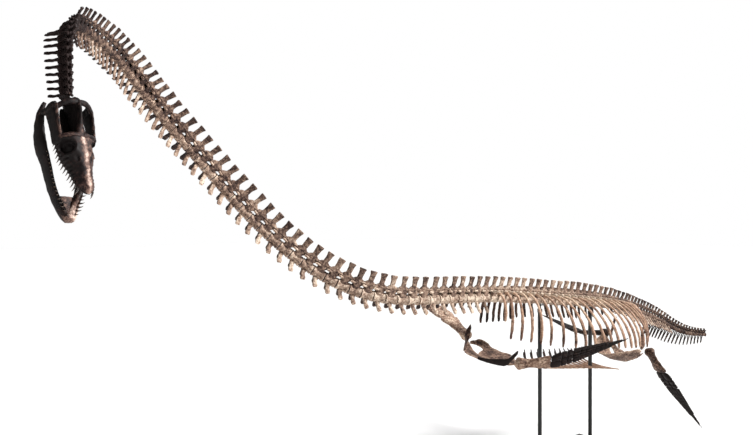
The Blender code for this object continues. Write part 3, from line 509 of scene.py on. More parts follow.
def stained_oak(name):
    """Oak boards stained near black and oiled: long grain lines with small pores, a low sheen."""
    material, tree, shader = new_material(name)
    spot = node(tree, "TexCoord", "Object")
    stretch = node(tree, "Mapping", "Vector", {"Vector": spot}, in_Scale=OAK_BANDS)
    bands = node(tree, "TexNoise", "Fac", {"Vector": stretch}, in_Scale=1.0, in_Detail=6.0,
                 in_Roughness=0.6, in_Distortion=0.6)
    fine = node(tree, "Mapping", "Vector", {"Vector": spot}, in_Scale=OAK_PORES)
    pores = node(tree, "TexNoise", "Fac", {"Vector": fine}, in_Scale=1.0, in_Detail=2.0)
    level = node(tree, "Math", 0, {0: pores, 2: bands}, operation="MULTIPLY_ADD", in_1=0.35)
    base = node(tree, "ValToRGB", "Color", {"Fac": level},
                ((0.40, "#17120F"), (0.65, "#2A211B"), (0.90, "#40332A")))
    rough = node(tree, "MapRange", "Result", {"Value": pores}, in_1=0.3, in_2=0.7, in_3=0.42,
                 in_4=0.60)
    bump = node(tree, "Bump", "Normal", {"Height": pores}, in_Strength=0.3, in_Distance=0.0005)
    fill(tree, shader, {"Base Color": base, "Roughness": rough, "Normal": bump})
    return material


VERTEBRA_BONE = fossil_bone("fossil_bone_vertebrae", "#DFCCB8", "#9F8472", "#523E36", "#1F110F")
RIB_BONE = fossil_bone("fossil_bone_ribs", "#EFD4B9", "#B7927A", "#5A4137", "#20110E", spots=1.1)
GIRDLE_BONE = fossil_bone("fossil_bone_girdles", "#E4CDB5", "#9E7E6B", "#48332B", "#180D0B")
# The skull's colours run darker than the other bones', partly as painted shade.
SKULL_BONE = fossil_bone("fossil_bone_skull", "#D3BAAC", "#7A5F54", "#2E1D1A", "#0E0606",
                         roughness=0.60, relief=0.0010)
ENAMEL = tooth_enamel("fossil_tooth_enamel")
STEEL = coated_steel("powder_coated_steel")
OAK = stained_oak("stained_oak")

# ---------------------------------------------------------------- vertebrae

# How pale each part of the backbone is, by vertebra. The near black of the first vertebrae behind
# the head is painted shade.
TONE_AT = (0, 9, 13, 17, 24, 50, 60, 72, 88, 98, 115)
BODY_TONE = (0.02, 0.02, 0.12, 0.56, 0.64, 0.88, 1.02, 1.00, 0.76, 0.60, 0.52)
SPINE_TONE = (0.02, 0.02, 0.12, 0.50, 0.58, 0.72, 0.70, 0.86, 0.52, 0.50, 0.50)
VERTEBRA_SEED = 500
# painted shade on the neck ribs of the right side
FAR_NECK_RIB_SHADE = 0.60          # how much darker the ribs of the neck's right side are

# Rings of a centrum from its front face to its rear face: how far along, and its radius.
CENTRUM_ALONG = (-0.400, -0.430, -0.455, -0.462, -0.440, -0.36, -0.22, 0.0, 0.22, 0.36, 0.440,
                 0.462, 0.455, 0.430, 0.400)
CENTRUM_SWELL = (0.30, 0.62, 0.86, 0.965, 1.0, 0.955, 0.86, 0.81, 0.86, 0.955, 1.0, 0.965, 0.86,
                 0.62, 0.30)
CENTRUM_WIDE = 1.07
CENTRUM_HIGH, CENTRUM_DEEP = 0.94, 0.90

# Bars of a neural arch, as points (tailward in vertebra lengths, outward and up in centrum radii):
# the pedicle, and the fingers that lap over the next vertebra in front and behind.
PEDICLE = ((0.0, 0.50, 0.60), (-0.01, 0.46, 1.05), (0.0, 0.26, 1.70))
FRONT_FINGER = ((-0.10, 0.26, 1.42), (-0.34, 0.44, 1.44), (-0.62, 0.54, 1.52))
REAR_FINGER = ((0.08, 0.20, 1.80), (0.34, 0.36, 1.86), (0.58, 0.44, 1.90))

# Up a neural spine: the half length of the blade as a share of the vertebra at its foot, then how
# far it goes from the waist (0) to the tip's own half length (1).
SPINE_UP = (0.0, 0.10, 0.24, 0.34, 0.46, 0.62, 0.80, 0.92, 0.98, 1.0)
SPINE_WALL = (0.48, 0.48, 0.45, 0.30, 0.0, 0.0, 0.0, 0.0, 0.0, 0.0)
SPINE_FLARE = (0.0, 0.0, 0.0, 0.0, 0.0, 0.05, 0.45, 1.0, 1.0, 0.82)
SPINE_WAIST = 0.78
SPINE_FOOT = 1.36         # in centrum radii
SPINE_RINGS = np.array((0.0, 0.06, 0.13, 0.20, 0.26, 0.32, 0.38, 0.46, 0.58, 0.70, 0.82, 0.91,
                        0.97, 0.993, 1.0))
SPINE_THICK_AT = (0, 0.12, 0.28, 0.6, 0.85, 0.96, 1.0)
SPINE_THICK = (0.022, 0.0175, 0.0115, 0.0085, 0.0095, 0.0118, 0.0070)


class Vertebrae:
    """A run of vertebrae with their frames: each local point is (tailward, left, up) in metres."""

    def __init__(self, numbers):
        self.s = np.asarray(numbers, float)
        t, u, w = axes(self.s)
        self.turn = np.stack([t, w, u], 1)
        self.origin = backbone(self.s)
        self.length = vertebra_length(self.s)
        self.radius = sized(self.s, CENTRUM_RADIUS)
        self.height = sized(self.s, SPINE_HEIGHT)
        self.tone = np.interp(self.s, TONE_AT, BODY_TONE)
        self.spine_tone = np.interp(self.s, TONE_AT, SPINE_TONE)
        # seeded by the vertebra, so that a bone is the same in any run
        self.luck = np.array([np.random.default_rng(int(n) + VERTEBRA_SEED).uniform(-1, 1, 8)
                              for n in self.s])

    def world(self, made):
        """Rings from local to world."""
        rings, grain = made
        turned = np.einsum("v...k,vkj->v...j", rings, self.turn)
        return turned + self.origin.reshape((-1,) + (1,) * (rings.ndim - 2) + (3,)), grain

    def bar(self, points, wide, thick, sides, power=1.0, hint=(1, 0, 0)):
        """A bar on the natural spline through local points, each of three numbers or columns, with
        an oval section of the given half width along the hint. Gives (rings, grain)."""
        rows = np.stack([np.stack([np.broadcast_to(v, self.s.shape) for v in point], -1)
                         for point in points])
        knots, steps = (np.linspace(0, 1, n) for n in (len(points), np.shape(wide)[-1]))
        path = np.moveaxis(spline(knots, rows, steps), 0, 1)
        return self.world(tube(path, hint, wide, thick, sides, power))

    def shares(self, points, side):
        """Local points from shares: tailward of the length, outward and up of the radius."""
        return [(back * self.length, side * out * self.radius, up * self.radius)
                for back, out, up in points]


def varied(base, share):
    """One column of sizes for each body: a base size times the shares of each ring."""
    return np.asarray(base)[:, None] * np.asarray(share)[None]


def add_centra(bones, v, sides=22):
    """Spool-shaped centra: rings of radius R * swell, a little wider than high and flattened
    below, whose end faces sink in. The waist is painted darker than the rims, as painted shade."""
    along, swell = np.array(CENTRUM_ALONG), np.array(CENTRUM_SWELL)
    angle = TAU * np.arange(sides) / sides
    flat = np.where(np.sin(angle) < 0, CENTRUM_DEEP, CENTRUM_HIGH)
    radius = v.radius[:, None, None] * swell[:, None]
    b, c = radius * np.cos(angle) * CENTRUM_WIDE, radius * np.sin(angle) * flat
    a = np.broadcast_to((v.length[:, None] * along)[..., None], b.shape)
    rings = np.stack([a, b, c], -1)
    world, _ = v.world((rings, None))
    # painted shade: darker in the waist, paler at the rims
    tone = v.tone[:, None, None] + 0.55 * (swell[None, :, None] - 0.92)
    bones.add(uneven(world, "centrum"), rings, tone + 0.05 * v.luck[:, :1, None])


def add_arches(bones, v):
    """Neural arches: two broad pedicles that lean together over the canal and leave a round gap
    between neighbours, then the zygapophyses, thick fingers that reach half way over the next."""
    t, _ = ends(7)
    wide = varied(v.length, eased(t, (0, 0.45, 1), (0.36, 0.27, 0.46)))
    thick = varied(v.radius, eased(t, (0, 0.5, 1), (0.24, 0.18, 0.26)))
    t, shrink = ends(7, 0.9, 0.6)
    girth = varied(v.radius, 0.27 * shrink * eased(t, (0, 0.6, 1), (0.9, 0.95, 1.15)))
    for side in (1, -1):
        across = (0, 1, 0.2 * side)
        # painted shade: the pedicles are painted darker than their vertebra
        bones.add(*v.bar(v.shares(PEDICLE, side), wide, thick, 10, 0.85), v.tone - 0.26)
        bones.add(*v.bar(v.shares(FRONT_FINGER, side), girth, girth * 0.80, 8, hint=across),
                  v.tone + 0.06)
        bones.add(*v.bar(v.shares(REAR_FINGER, side), girth * 0.95, girth * 0.72, 8, hint=across),
                  v.tone - 0.12)


def add_spines(bones, v, sides=16):
    """Neural spines: rings up a blade whose foot joins its neighbours in one wall, which pulls in
    to a waist above a U-shaped gap, and flares to a flat, slightly swollen tip."""
    t = SPINE_RINGS
    foot = SPINE_FOOT * v.radius
    top = v.height * (1 + 0.018 * v.luck[:, 0])
    up = foot[:, None] + (top - foot)[:, None] * t
    lean = (0.05 + 0.035 * v.luck[:, 1])[:, None] * v.length[:, None] * t
    tip = 0.5 * sized(v.s, SPINE_TIP) * (1 + 0.05 * v.luck[:, 3])
    waist = tip * (SPINE_WAIST + 0.05 * v.luck[:, 2])
    blade = waist[:, None] + (tip - waist)[:, None] * eased(t, SPINE_UP, SPINE_FLARE)
    half = np.maximum(blade, np.interp(t, SPINE_UP, SPINE_WALL)[None])
    half[:, -1] = tip * 0.80
    wide = v.length[:, None] * half
    slim = np.clip(v.radius / 0.05, 0.55, 1.1)[:, None]
    thick = slim * eased(t, SPINE_THICK_AT, SPINE_THICK)
    path = np.stack([lean, 0.004 * v.luck[:, 4:5] * t * np.ones_like(lean), up], -1)
    rings, grain = v.world(tube(path, (1, 0, 0), wide, thick, sides, 0.72))
    tone = v.spine_tone[:, None, None] + 0.14 * (0.5 - t[None, :, None])
    bones.add(uneven(rings, "neural_spine"), grain, tone + 0.10 * v.luck[:, 5, None, None])


def add_neck_ribs(bones, v):
    """Neck, hip and tail ribs: a bar from the centrum's lower flank, out and down and a little
    back, pinched near its root and ending broad and square."""
    L, R = v.length, v.radius
    reach = sized(v.s, RIB_REACH)
    behind = v.s >= FIRST_HIP
    droop = np.where(behind, TAIL_RIB_DROOP, NECK_RIB_DROOP)
    broad = np.where(behind, 1.60, 1.0)
    out, down = 1 / np.hypot(1.0, droop), -droop / np.hypot(1.0, droop)
    t, shrink = ends(12, 0.9, 0.72)
    wide = eased(t, (0, 0.25, 0.55, 0.85, 1), (0.20, 0.15, 0.16, 0.195, 0.20))
    wide = varied(L * broad, shrink * wide)
    thick = varied(R, shrink * eased(t, (0, 0.3, 0.7, 1), (0.28, 0.21, 0.17, 0.14)))
    for side in (1, -1):
        points = [(back * L, side * out * far, down * far) for far, back in (
            (0.80 * R, 0.0), (R + 0.22 * reach, 0.02), (R + 0.62 * reach, 0.12),
            (R + reach, NECK_RIB_SWEEP))]
        rings, grain = v.bar(points, wide, thick, 12, 0.75)
        # painted light and shade: the neck ribs are painted paler than their vertebrae, and those
        # of the right side darker
        shade = np.minimum(v.tone, 0.70) + 0.20 + 0.10 * v.luck[:, 6]
        if side < 0:
            shade = shade - FAR_NECK_RIB_SHADE * ~behind
        bones.add(uneven(rings, "neck_rib"), grain, shade)


def add_transverse(bones, v):
    """Transverse processes of the back: bars from the arch out to the rib heads, knobbed at the
    end."""
    L, R = v.length, v.radius
    t, shrink = ends(9, 0.95, 0.6)
    wide = varied(L, shrink * eased(t, (0, 0.5, 0.85, 1), (0.22, 0.135, 0.15, 0.17)))
    thick = shrink * eased(t, (0, 0.5, 0.85, 1), (0.017, 0.0115, 0.013, 0.014))
    for side in (1, -1):
        points = ((0, side * 0.34 * R, 1.30 * R), (0, side * 0.060, 1.48 * R),
                  (0.01 * L, side * 0.104, FLANK_UP + 0.010))
        # painted light: the transverse processes are painted paler than their vertebrae
        bones.add(*v.bar(points, wide, thick[None], 10), v.tone + 0.25)


def add_chevrons(bones, v):
    """Chevrons: two arms from under the joint that meet in one hanging blade."""
    L, R = v.length, v.radius
    depth = np.interp(v.s, CHEVRON_AT, CHEVRON_DEPTH)
    t, shrink = ends(10, 0.8, 0.6)
    wide = varied(L, shrink * eased(t, (0, 0.4, 0.8, 1), (0.15, 0.13, 0.22, 0.24)))
    thick = varied(R, shrink * eased(t, (0, 0.5, 1), (0.17, 0.15, 0.14)))
    for side in (1, -1):
        points = ((0.34 * L, side * 0.45 * R, -0.86 * R),
                  (0.34 * L, side * 0.30 * R, -0.42 * depth),
                  (0.32 * L, side * 0.06 * R, -0.74 * depth), (0.30 * L, 0.0, -depth))
        # painted shade: the chevrons are painted darker than their vertebrae
        bones.add(*v.bar(points, wide, thick, 8), v.tone - 0.25)


# The lengths of the backbone, as first and last vertebrae.
BACKBONE_LENGTHS = {
    "neck": ((1, 8), (9, 16), (17, 24), (25, 32), (33, 40), (41, 48), (49, 55), (56, 62)),
    "back": ((63, 65), (66, 73), (74, 81), (82, 88)),
    "sacrum": ((89, 91),),
    "tail": ((92, 97), (98, 103), (104, 109), (110, 115)),
}


def backbone_piece(name, first, last):
    """One length of the backbone, as separate vertebrae, for the solid of the same name."""
    v = Vertebrae(range(first, last + 1))
    bones = Bones()
    add_centra(bones, v)
    add_arches(bones, v)
    add_spines(bones, v)
    if FIRST_RIB <= first <= LAST_RIB:
        add_transverse(bones, v)
    elif first <= LAST_TAIL_RIB:
        add_neck_ribs(bones, v)
    hung = [s for s in range(first, last + 1) if CHEVRON_AT[0] <= s <= CHEVRON_AT[-1]]
    if hung:
        add_chevrons(bones, Vertebrae(hung))
    bones.piece(name + "_bones", VERTEBRA_BONE, [name], "backbone")


for part, lengths in BACKBONE_LENGTHS.items():
    for number, (first, last) in enumerate(lengths, 1):
        backbone_piece(part if len(lengths) == 1 else "%s_%d" % (part, number), first, last)

# ---------------------------------------------------------------- ribs

RIB_SEED = 70
RIB_TONE = (1.00, 0.34)   # at the head, and how much darker at the tip
# painted shade on the ribs of the right side
RIGHT_RIB_SHADE = 0.40    # how much darker the right side's ribs are


def rib_cage(side):
    """Trunk ribs of one side: a spline from the head on its transverse process, out and down and
    back to the tip, as shares of the way to the tip. The section is an oval, wide along the
    trunk, with a swollen head and a slightly clubbed end."""
    s = np.arange(FIRST_RIB, LAST_RIB + 1).astype(float)
    out, back, down = (np.interp(s, RIB_TIP_AT, tip)
                       for tip in (RIB_TIP_OUT, RIB_TIP_BACK, RIB_TIP_DOWN))
    rows = []
    for out_share, back_share, down_share in RIB_PATH:
        up = FLANK_UP - (FLANK_UP + down) * down_share
        left = side * (FLANK_LEFT + (out - FLANK_LEFT) * out_share)
        rows.append(place(s, up, left, back * back_share))
    t, shrink = ends(34, 0.7, 0.6)
    path = np.moveaxis(spline(RIB_KNOTS, np.array(rows), RIB_HEAD + (1 - RIB_HEAD) * t), 0, 1)
    luck = np.random.default_rng(RIB_SEED + side).uniform(-1, 1, (len(s), 3))
    at = (0, 0.06, 0.2, 0.6, 0.9, 1)
    wide = 0.5 * RIB_WIDTH * shrink * eased(t, at, (1.15, 1.0, 0.86, 1.0, 0.98, 0.9))
    wide = wide[None] * (1 + 0.07 * luck[:, :1])
    thick = 0.5 * RIB_THICK * shrink * eased(t, at, (1.5, 1.2, 1.0, 1.0, 0.95, 0.8))
    tail, _, _ = axes(s)
    rings, grain = tube(path, tail[:, None, :], wide, thick, 12, 0.9)
    tone = RIB_TONE[0] - RIB_TONE[1] * t[None, :, None] + 0.12 * luck[:, 1, None, None]
    # painted shade: the right side's ribs are painted darker
    if side < 0:
        tone = tone - RIGHT_RIB_SHADE
    return Bones().add(uneven(rings, "trunk_rib"), grain, tone)


for side, word in SIDES:
    rib_cage(side).piece("ribs_" + word, RIB_BONE, ["rib_cage_" + word], "ribs")

# The belly ribs' bow, by metres out: how high and how far back it lies at its vertebra.
BELLY_AT = (0, 0.14, 0.28)
BELLY_UP = (-0.735, -0.733, -0.695)
BELLY_BACK = (-0.010, 0.05, 0.14)
BELLY_MIDDLE = (0.165, 0.0135)     # half span and girth of the middle rod
# The side rods of a row: metres out at the start and at the stop, shift back, lift and girth.
BELLY_RODS = ((0.05, 0.225, -0.022, 0.010, 0.0115), (0.125, 0.285, 0.0, 0.004, 0.0115))
# painted shade: the right side's rods are painted dark
ROD_TONE = {0: 0.80, 1: 0.85, -1: 0.20}     # the middle rod, then the left and the right ones


def belly_ribs():
    """Belly ribs: in each row a bow-shaped middle rod and two slimmer rods a side that overlap it
    and run out to pointed tips."""
    s = np.arange(BELLY_SPAN[0], BELLY_SPAN[1], BELLY_ROW_SPACING)
    share = np.interp(s, BELLY_SHARE_AT, BELLY_SHARE)
    t, shrink = ends(26, 0.25, 0.25)
    reach = np.linspace(-1, 1, len(t))
    tail, _, _ = axes(s)
    bones = Bones()

    def rod(left, shift, lift, wide, tone):
        up = eased(np.abs(left), BELLY_AT, BELLY_UP) + lift
        back = eased(np.abs(left), BELLY_AT, BELLY_BACK) + shift
        path = place(s[:, None], up[None], left[None] * share[:, None], back[None])
        bones.add(*tube(path, tail[:, None], wide[None], 0.8 * wide[None], 8), tone)

    half, girth = BELLY_MIDDLE
    rod(half * reach, 0.0, 0.0, girth * shrink * (1 - 0.40 * np.abs(reach)), ROD_TONE[0])
    for side in (1, -1):
        for start, stop, shift, lift, girth in BELLY_RODS:
            wide = girth * shrink * (1 - 0.40 * np.abs(2 * t - 0.9))
            rod(side * (start + (stop - start) * t), shift, lift, wide, ROD_TONE[side])
    return bones


belly_ribs().piece("belly_rib_rods", RIB_BONE, ["belly_ribs"], "ribs")

# ---------------------------------------------------------------- girdles

SHOULDER_ANCHOR = 67.8
HIP_ANCHOR = 92.9
MIDLINE = 0.0015
PLATE_HALF = 0.0125
PLATE_STEPS, PLATE_SIDES = 64, 32

# Each plate lies between two edges, as rows of (tailward, outward) from the anchor vertebra.
PLATES = {
    "coracoid": (
        ((-0.048, 0.290), (0.035, 0.268), (0.068, 0.235), (0.066, 0.185), (0.010, 0.140),
         (-0.060, 0.112), (-0.110, 0.060), (-0.113, MIDLINE), (0.100, MIDLINE), (0.300, MIDLINE)),
        ((-0.030, 0.310), (0.050, 0.316), (0.110, 0.330), (0.180, 0.318), (0.225, 0.275),
         (0.222, 0.225), (0.255, 0.165), (0.285, 0.085), (0.340, 0.045), (0.345, 0.012))),
    "scapula": (
        ((-0.053, 0.306), (-0.060, 0.262), (-0.077, 0.200), (-0.102, 0.130), (-0.118, 0.070),
         (-0.1185, 0.020), (-0.1185, MIDLINE)),
        ((-0.080, 0.308), (-0.110, 0.282), (-0.150, 0.235), (-0.215, 0.170), (-0.290, 0.095),
         (-0.345, 0.040), (-0.365, MIDLINE))),
    "pubis": (
        ((-0.018, 0.198), (-0.055, 0.165), (-0.080, 0.125), (-0.070, 0.085), (-0.042, 0.050),
         (-0.040, 0.020), (-0.060, MIDLINE), (-0.300, MIDLINE), (-0.560, MIDLINE)),
        ((-0.018, 0.220), (-0.070, 0.245), (-0.180, 0.255), (-0.300, 0.232), (-0.410, 0.195),
         (-0.520, 0.135), (-0.590, 0.065), (-0.615, 0.025), (-0.618, 0.006))),
    "ischium": (
        ((-0.011, 0.198), (0.022, 0.150), (0.020, 0.105), (-0.010, 0.065), (-0.034, 0.025),
         (-0.010, MIDLINE), (0.190, MIDLINE)),
        ((-0.011, 0.220), (0.045, 0.225), (0.090, 0.190), (0.130, 0.150), (0.190, 0.120),
         (0.240, 0.085), (0.262, 0.025))),
}


def shoulder_level(tail, out):
    """Height of the shoulder plates: flat in the middle, rising to the sockets and to the front."""
    return -0.660 + 0.072 * (out / 0.34) ** 4 + 0.056 * np.clip((-tail - 0.10) / 0.275, 0, 1)


def hip_level(tail, out):
    """Height of the hip plates: a deep bowl whose keel rises to the front and the rear."""
    rise = 0.045 * np.clip((-tail - 0.30) / 0.32, 0, 1) + 0.30 * np.maximum(tail, 0)
    return -0.675 + 0.27 * (out / 0.27) ** 2 + rise


def add_plate(bones, edges, anchor, side, level, tone):
    """A flat bone between two edges: at each step along it a closed section runs from one edge to
    the other and back, thin and dished in the middle, thick along its rims and at its socket."""
    along = np.linspace(0, 1, len(edges[0]))
    steps = 0.5 - 0.5 * np.cos(np.pi * np.linspace(0.02, 0.98, PLATE_STEPS))

    def edge(rows):
        return np.stack([0.65 * np.interp(steps, along, column) + 0.35 * eased(steps, along, column)
                         for column in np.array(rows).T], -1)[:, None]
    first, second = edge(edges[0]), edge(edges[1])
    angle = TAU * np.arange(PLATE_SIDES)[None] / PLATE_SIDES
    across = 0.5 - 0.5 * np.cos(angle)
    spot = first * (1 - across[..., None]) + second * across[..., None]
    tail, out = spot[..., 0], np.maximum(spot[..., 1], 0.0008)
    rim = 0.50 + 0.50 * np.abs(2 * across - 1) ** 2.2
    socket = 1 + 0.45 * np.exp(-(steps[:, None] / 0.10) ** 2)
    closing = np.minimum(1, 9 * np.minimum(steps, 1 - steps) + 0.35)[:, None]
    rise = PLATE_HALF * rim * socket * closing
    rise = rise * np.sign(np.sin(angle)) * np.abs(np.sin(angle)) ** 0.55
    rings = place(np.full(tail.shape, anchor), level(tail, out) + rise, side * out, tail)
    # painted shade and light: darker in the dished middle, paler at the rims and on the upper face
    paleness = tone + 0.30 * (np.abs(2 * across - 1) ** 3 - 0.3) + 0.10 * (rise > 0)
    bones.add(uneven(rings, "plate"), np.stack([tail, out, rise], -1), paleness)


# The shoulder blade stands on the outer edge of its plate: from front to tip, its lower and its
# upper edge as (tailward, up, outward) from the anchor vertebra.
SHOULDER_BLADE = np.array((
    ((-0.285, -0.632, 0.105), (-0.285, -0.606, 0.105)),
    ((-0.205, -0.640, 0.180), (-0.205, -0.591, 0.195)),
    ((-0.140, -0.640, 0.245), (-0.140, -0.566, 0.265)),
    ((-0.085, -0.632, 0.290), (-0.098, -0.532, 0.335)),
    ((-0.056, -0.600, 0.312), (-0.060, -0.475, 0.360)),
    ((-0.008, -0.475, 0.364), (-0.018, -0.434, 0.372)),
))
BLADE_HALF = 0.011


def add_blade(bones, side, tone):
    """The blade: at each step a flat oval stands between its two edges, fullest low down."""
    knots = np.linspace(0, 1, len(SHOULDER_BLADE))
    t, shrink = ends(34, 0.6, 0.6)
    rows = spline(knots, SHOULDER_BLADE, t)
    anchor = np.full(len(t), SHOULDER_ANCHOR)
    low, high = (place(anchor, rows[:, k, 1], side * rows[:, k, 2], rows[:, k, 0]) for k in (0, 1))
    centre, rise = (low + high) / 2, (high - low) / 2
    face = unit(np.cross(unit(np.gradient(centre, axis=0)), rise))
    x, y = oval(24, np.ones(len(t)), BLADE_HALF * shrink, 0.8)
    rings = ringed(centre, rise, face, x, y * (1.1 - 0.25 * x))
    bones.add(uneven(rings, "blade"), grained(0.4 * t, 0.05 * x, y), tone)


# The ilium from its socket up to the hip ribs: vertebra, up, outward, half width, half thickness.
ILIUM = ((92.6, -0.430, 0.222, 0.030, 0.015), (91.95, -0.310, 0.206, 0.022, 0.012),
         (91.2, -0.165, 0.185, 0.030, 0.012))
GIRDLE_PARTS = (("coracoid", SHOULDER_ANCHOR, shoulder_level, 0.58),
                ("scapula", SHOULDER_ANCHOR, shoulder_level, 0.64),
                ("pubis", HIP_ANCHOR, hip_level, 0.74),
                ("ischium", HIP_ANCHOR, hip_level, 0.66))
# painted shade: the left shoulder blade is painted near black, the right one paler
BLADE_TONE = {"left": 0.06, "right": 0.48}
ILIUM_TONE = 0.62


def ilium(side):
    """A flat bar whose width lies square to its run and to the animal's left."""
    rows = np.array(ILIUM)
    centres = place(rows[:, 0], rows[:, 1], side * rows[:, 2])
    _, _, left = axes(rows[0, 0])
    hint = np.cross(unit(centres[-1] - centres[0]), left)
    rings, grain = bar_along(centres, rows[:, 3:], hint, 22, 0.7, 0.45, 16, 0.85)
    return Bones().add(uneven(rings, "ilium"), grain, ILIUM_TONE)


for side, word in SIDES:
    for plate, anchor, level, tone in GIRDLE_PARTS:
        bones = Bones()
        add_plate(bones, PLATES[plate], anchor, side, level, tone)
        if plate == "scapula":
            add_blade(bones, side, BLADE_TONE[word])
        bones.piece("%s_plate_%s" % (plate, word), GIRDLE_BONE, ["%s_%s" % (plate, word)],
                    "girdles_and_flippers")
    ilium(side).piece("ilium_bar_" + word, GIRDLE_BONE, ["ilium_" + word], "girdles_and_flippers")

# ---------------------------------------------------------------- flippers

# Sections of a limb's bones: share of the length, half chord, half thickness and, for a paddle,
# how far its middle leads toward the front edge.
UPPER_AT = (0.000, 0.060, 0.330, 0.600, 0.850, 0.960, 1.000)
UPPER_CHORD = (0.045, 0.062, 0.066, 0.082, 0.115, 0.125, 0.115)
UPPER_THICK = (0.030, 0.048, 0.036, 0.032, 0.030, 0.026, 0.018)
PADDLE_AT = (0.000, 0.030, 0.180, 0.380, 0.600, 0.800, 0.940, 1.000)
PADDLE_CHORD = (0.110, 0.126, 0.142, 0.126, 0.086, 0.052, 0.026, 0.010)
PADDLE_THICK = (0.018, 0.024, 0.024, 0.019, 0.014, 0.010, 0.007, 0.005)
PADDLE_LEAD = (0.0, 0.0, 0.006, 0.006, -0.002, -0.012, -0.022, -0.028)
JOINT_GAP = 0.008
TURN_SHARE = 0.25         # share of a bone's length over which its section turns to the joint
# The socket as (vertebra, up, left), then from the socket the elbow or knee, the tip, and the
# direction of the chord, each as (tailward, up, left).
LIMBS = {
    "fore_left": ((67.75, -0.585, 0.358), (0.300, 0.090, 0.180), (0.970, 0.470, 0.540),
                  (0.66, -0.67, -0.33)),
    "fore_right": ((67.75, -0.585, -0.358), (-0.020, 0.090, -0.390), (0.060, 0.120, -1.270),
                   (0.98, 0.04, 0.18)),
    "hind_left": ((93.0, -0.405, 0.275), (0.215, -0.215, 0.158), (0.710, -0.715, 0.656),
                  (0.58, -0.20, -0.79)),
    "hind_right": ((93.0, -0.405, -0.275), (-0.045, -0.139, -0.349), (0.137, -0.144, -1.129),
                   (0.97, 0.10, 0.23)),
}
# How pale the upper bone and the paddle are. The dark left paddles are painted shade and the pale
# right fore paddle painted light.
LIMB_TONE = {"fore_left": (0.78, 0.10), "fore_right": (0.88, 0.84),
             "hind_left": (0.52, -0.10), "hind_right": (0.30, 0.0)}
UPPER_NAMES = {"fore": "humerus", "hind": "femur"}


class Limb:
    """The straight stretch of one limb bone: its centre line and the turning of its section."""

    def __init__(self, start, end, joint_run, hint, joint_at):
        self.start, self.end = start, end
        self.joint_run, self.hint, self.joint_at = joint_run, hint, joint_at
        self.run = unit(end - start)

    def frame(self, share):
        """Centres, chord directions and face normals at shares of the length."""
        turned = np.clip(1 - np.abs(share - self.joint_at) / TURN_SHARE, 0, 1)[..., None]
        square = unit(self.run * (1 - turned) + self.joint_run * turned)
        chord = square_to(self.hint, square)
        centre = self.start + (self.end - self.start) * share[..., None]
        return centre, chord, np.cross(square, chord)


def upper_bone(limb, tone, number):
    """A humerus or femur: a round knobbed head, a waisted shaft, and a broad flat end."""
    t, shrink = ends(40, 0.55, 0.75)
    wide = shrink * eased(t, UPPER_AT, UPPER_CHORD)
    thick = shrink * eased(t, UPPER_AT, UPPER_THICK)
    x, y = oval(26, wide, thick, 0.95)
    knob = 0.012 * np.exp(-((t - 0.10) / 0.06) ** 2)[:, None] * np.clip(y / thick[:, None], 0, 1)
    rings = uneven(ringed(*limb.frame(t), x, y + knob), "upper_bone", number)
    return Bones().add(rings, grained(0.4 * t, x, y), tone + 0.06 * np.cos(9 * t)[None, :, None])


# A paddle's bones as shares of its length and of its half chord. Forearm: place across, half width.
FOREARM = ((-0.48, 0.475), (0.50, 0.465))
FOREARM_SPAN = (0.006, 0.125, 0.12)     # start, end, pinch of the waist
# Two rows of wrist bones: start, end, and their places across.
WRIST_ROWS = ((0.135, 0.200, (-0.62, 0.0, 0.60)), (0.210, 0.268, (-0.64, -0.02, 0.58)))
WRIST_BONE = (0.305, 0.03)              # half width, pinch
# Each finger's place across and where it ends.
FINGERS = ((-0.80, 0.74), (-0.41, 0.93), (-0.02, 0.985), (0.38, 0.95), (0.78, 0.80))
FINGER_BONE = (0.190, 0.20)
FINGER_START = 0.278
FINGER_LENGTHS = (0.084, 0.76, 0.945, 0.030)    # first bone, two shares for the next, the least
FINGER_GAP = 0.004


def finger_bones():
    """The bones of a paddle as rows of (start, end, chord place, half width, pinch): two forearm
    bones, six wrist bones, then five fingers of shortening phalanges."""
    start, end, pinch = FOREARM_SPAN
    rows = [(start, end, across, half, pinch) for across, half in FOREARM]
    rows += [(start, end, across) + WRIST_BONE
             for start, end, places in WRIST_ROWS for across in places]
    first, early, late, least = FINGER_LENGTHS
    for across, stop in FINGERS:
        start = FINGER_START + 0.012 * abs(across)
        length = first
        while start + 0.6 * length < stop:
            rows.append((start, start + length, across) + FINGER_BONE)
            start += length + FINGER_GAP
            length = max(least, length * (early if length > 0.08 else late))
    return np.array(rows)


def paddle(limb, tone, number):
    """A paddle's bones: each is a short spool whose rings lie across the paddle at their share."""
    rows = finger_bones()
    seed = UNEVEN["finger_bone"][2] + number
    luck = np.random.default_rng(seed).uniform(-1, 1, (len(rows), 3))
    t = np.array((0.0, 0.10, 0.5, 0.90, 1.0))
    square_end = np.array((0.82, 1.0, 1.0, 1.0, 0.82))
    begin, finish, across, breadth, pinch = (rows[:, k:k + 1] for k in range(5))
    share = begin + (finish - begin) * t
    half = eased(share, PADDLE_AT, PADDLE_CHORD)
    offset = across * half + eased(share, PADDLE_AT, PADDLE_LEAD)
    waist = 1 - pinch * np.sin(np.pi * t) ** 1.5
    wide = np.maximum(breadth * half, 0.0035) * waist * square_end * (1 + 0.06 * luck[:, :1])
    edge = 1 - 0.35 * np.abs(across) ** 2
    thick = eased(share, PADDLE_AT, PADDLE_THICK) * edge * (0.55 + 0.45 * waist) * square_end
    x, y = oval(8, wide, np.minimum(thick, wide * 1.1), 0.85)
    x = x + offset[..., None] + 0.0015 * luck[:, 1, None, None]
    rings = uneven(ringed(*limb.frame(share), x, y), "finger_bone", number)
    return Bones().add(rings, grained(share, x, y), tone + 0.08 * luck[:, 2])


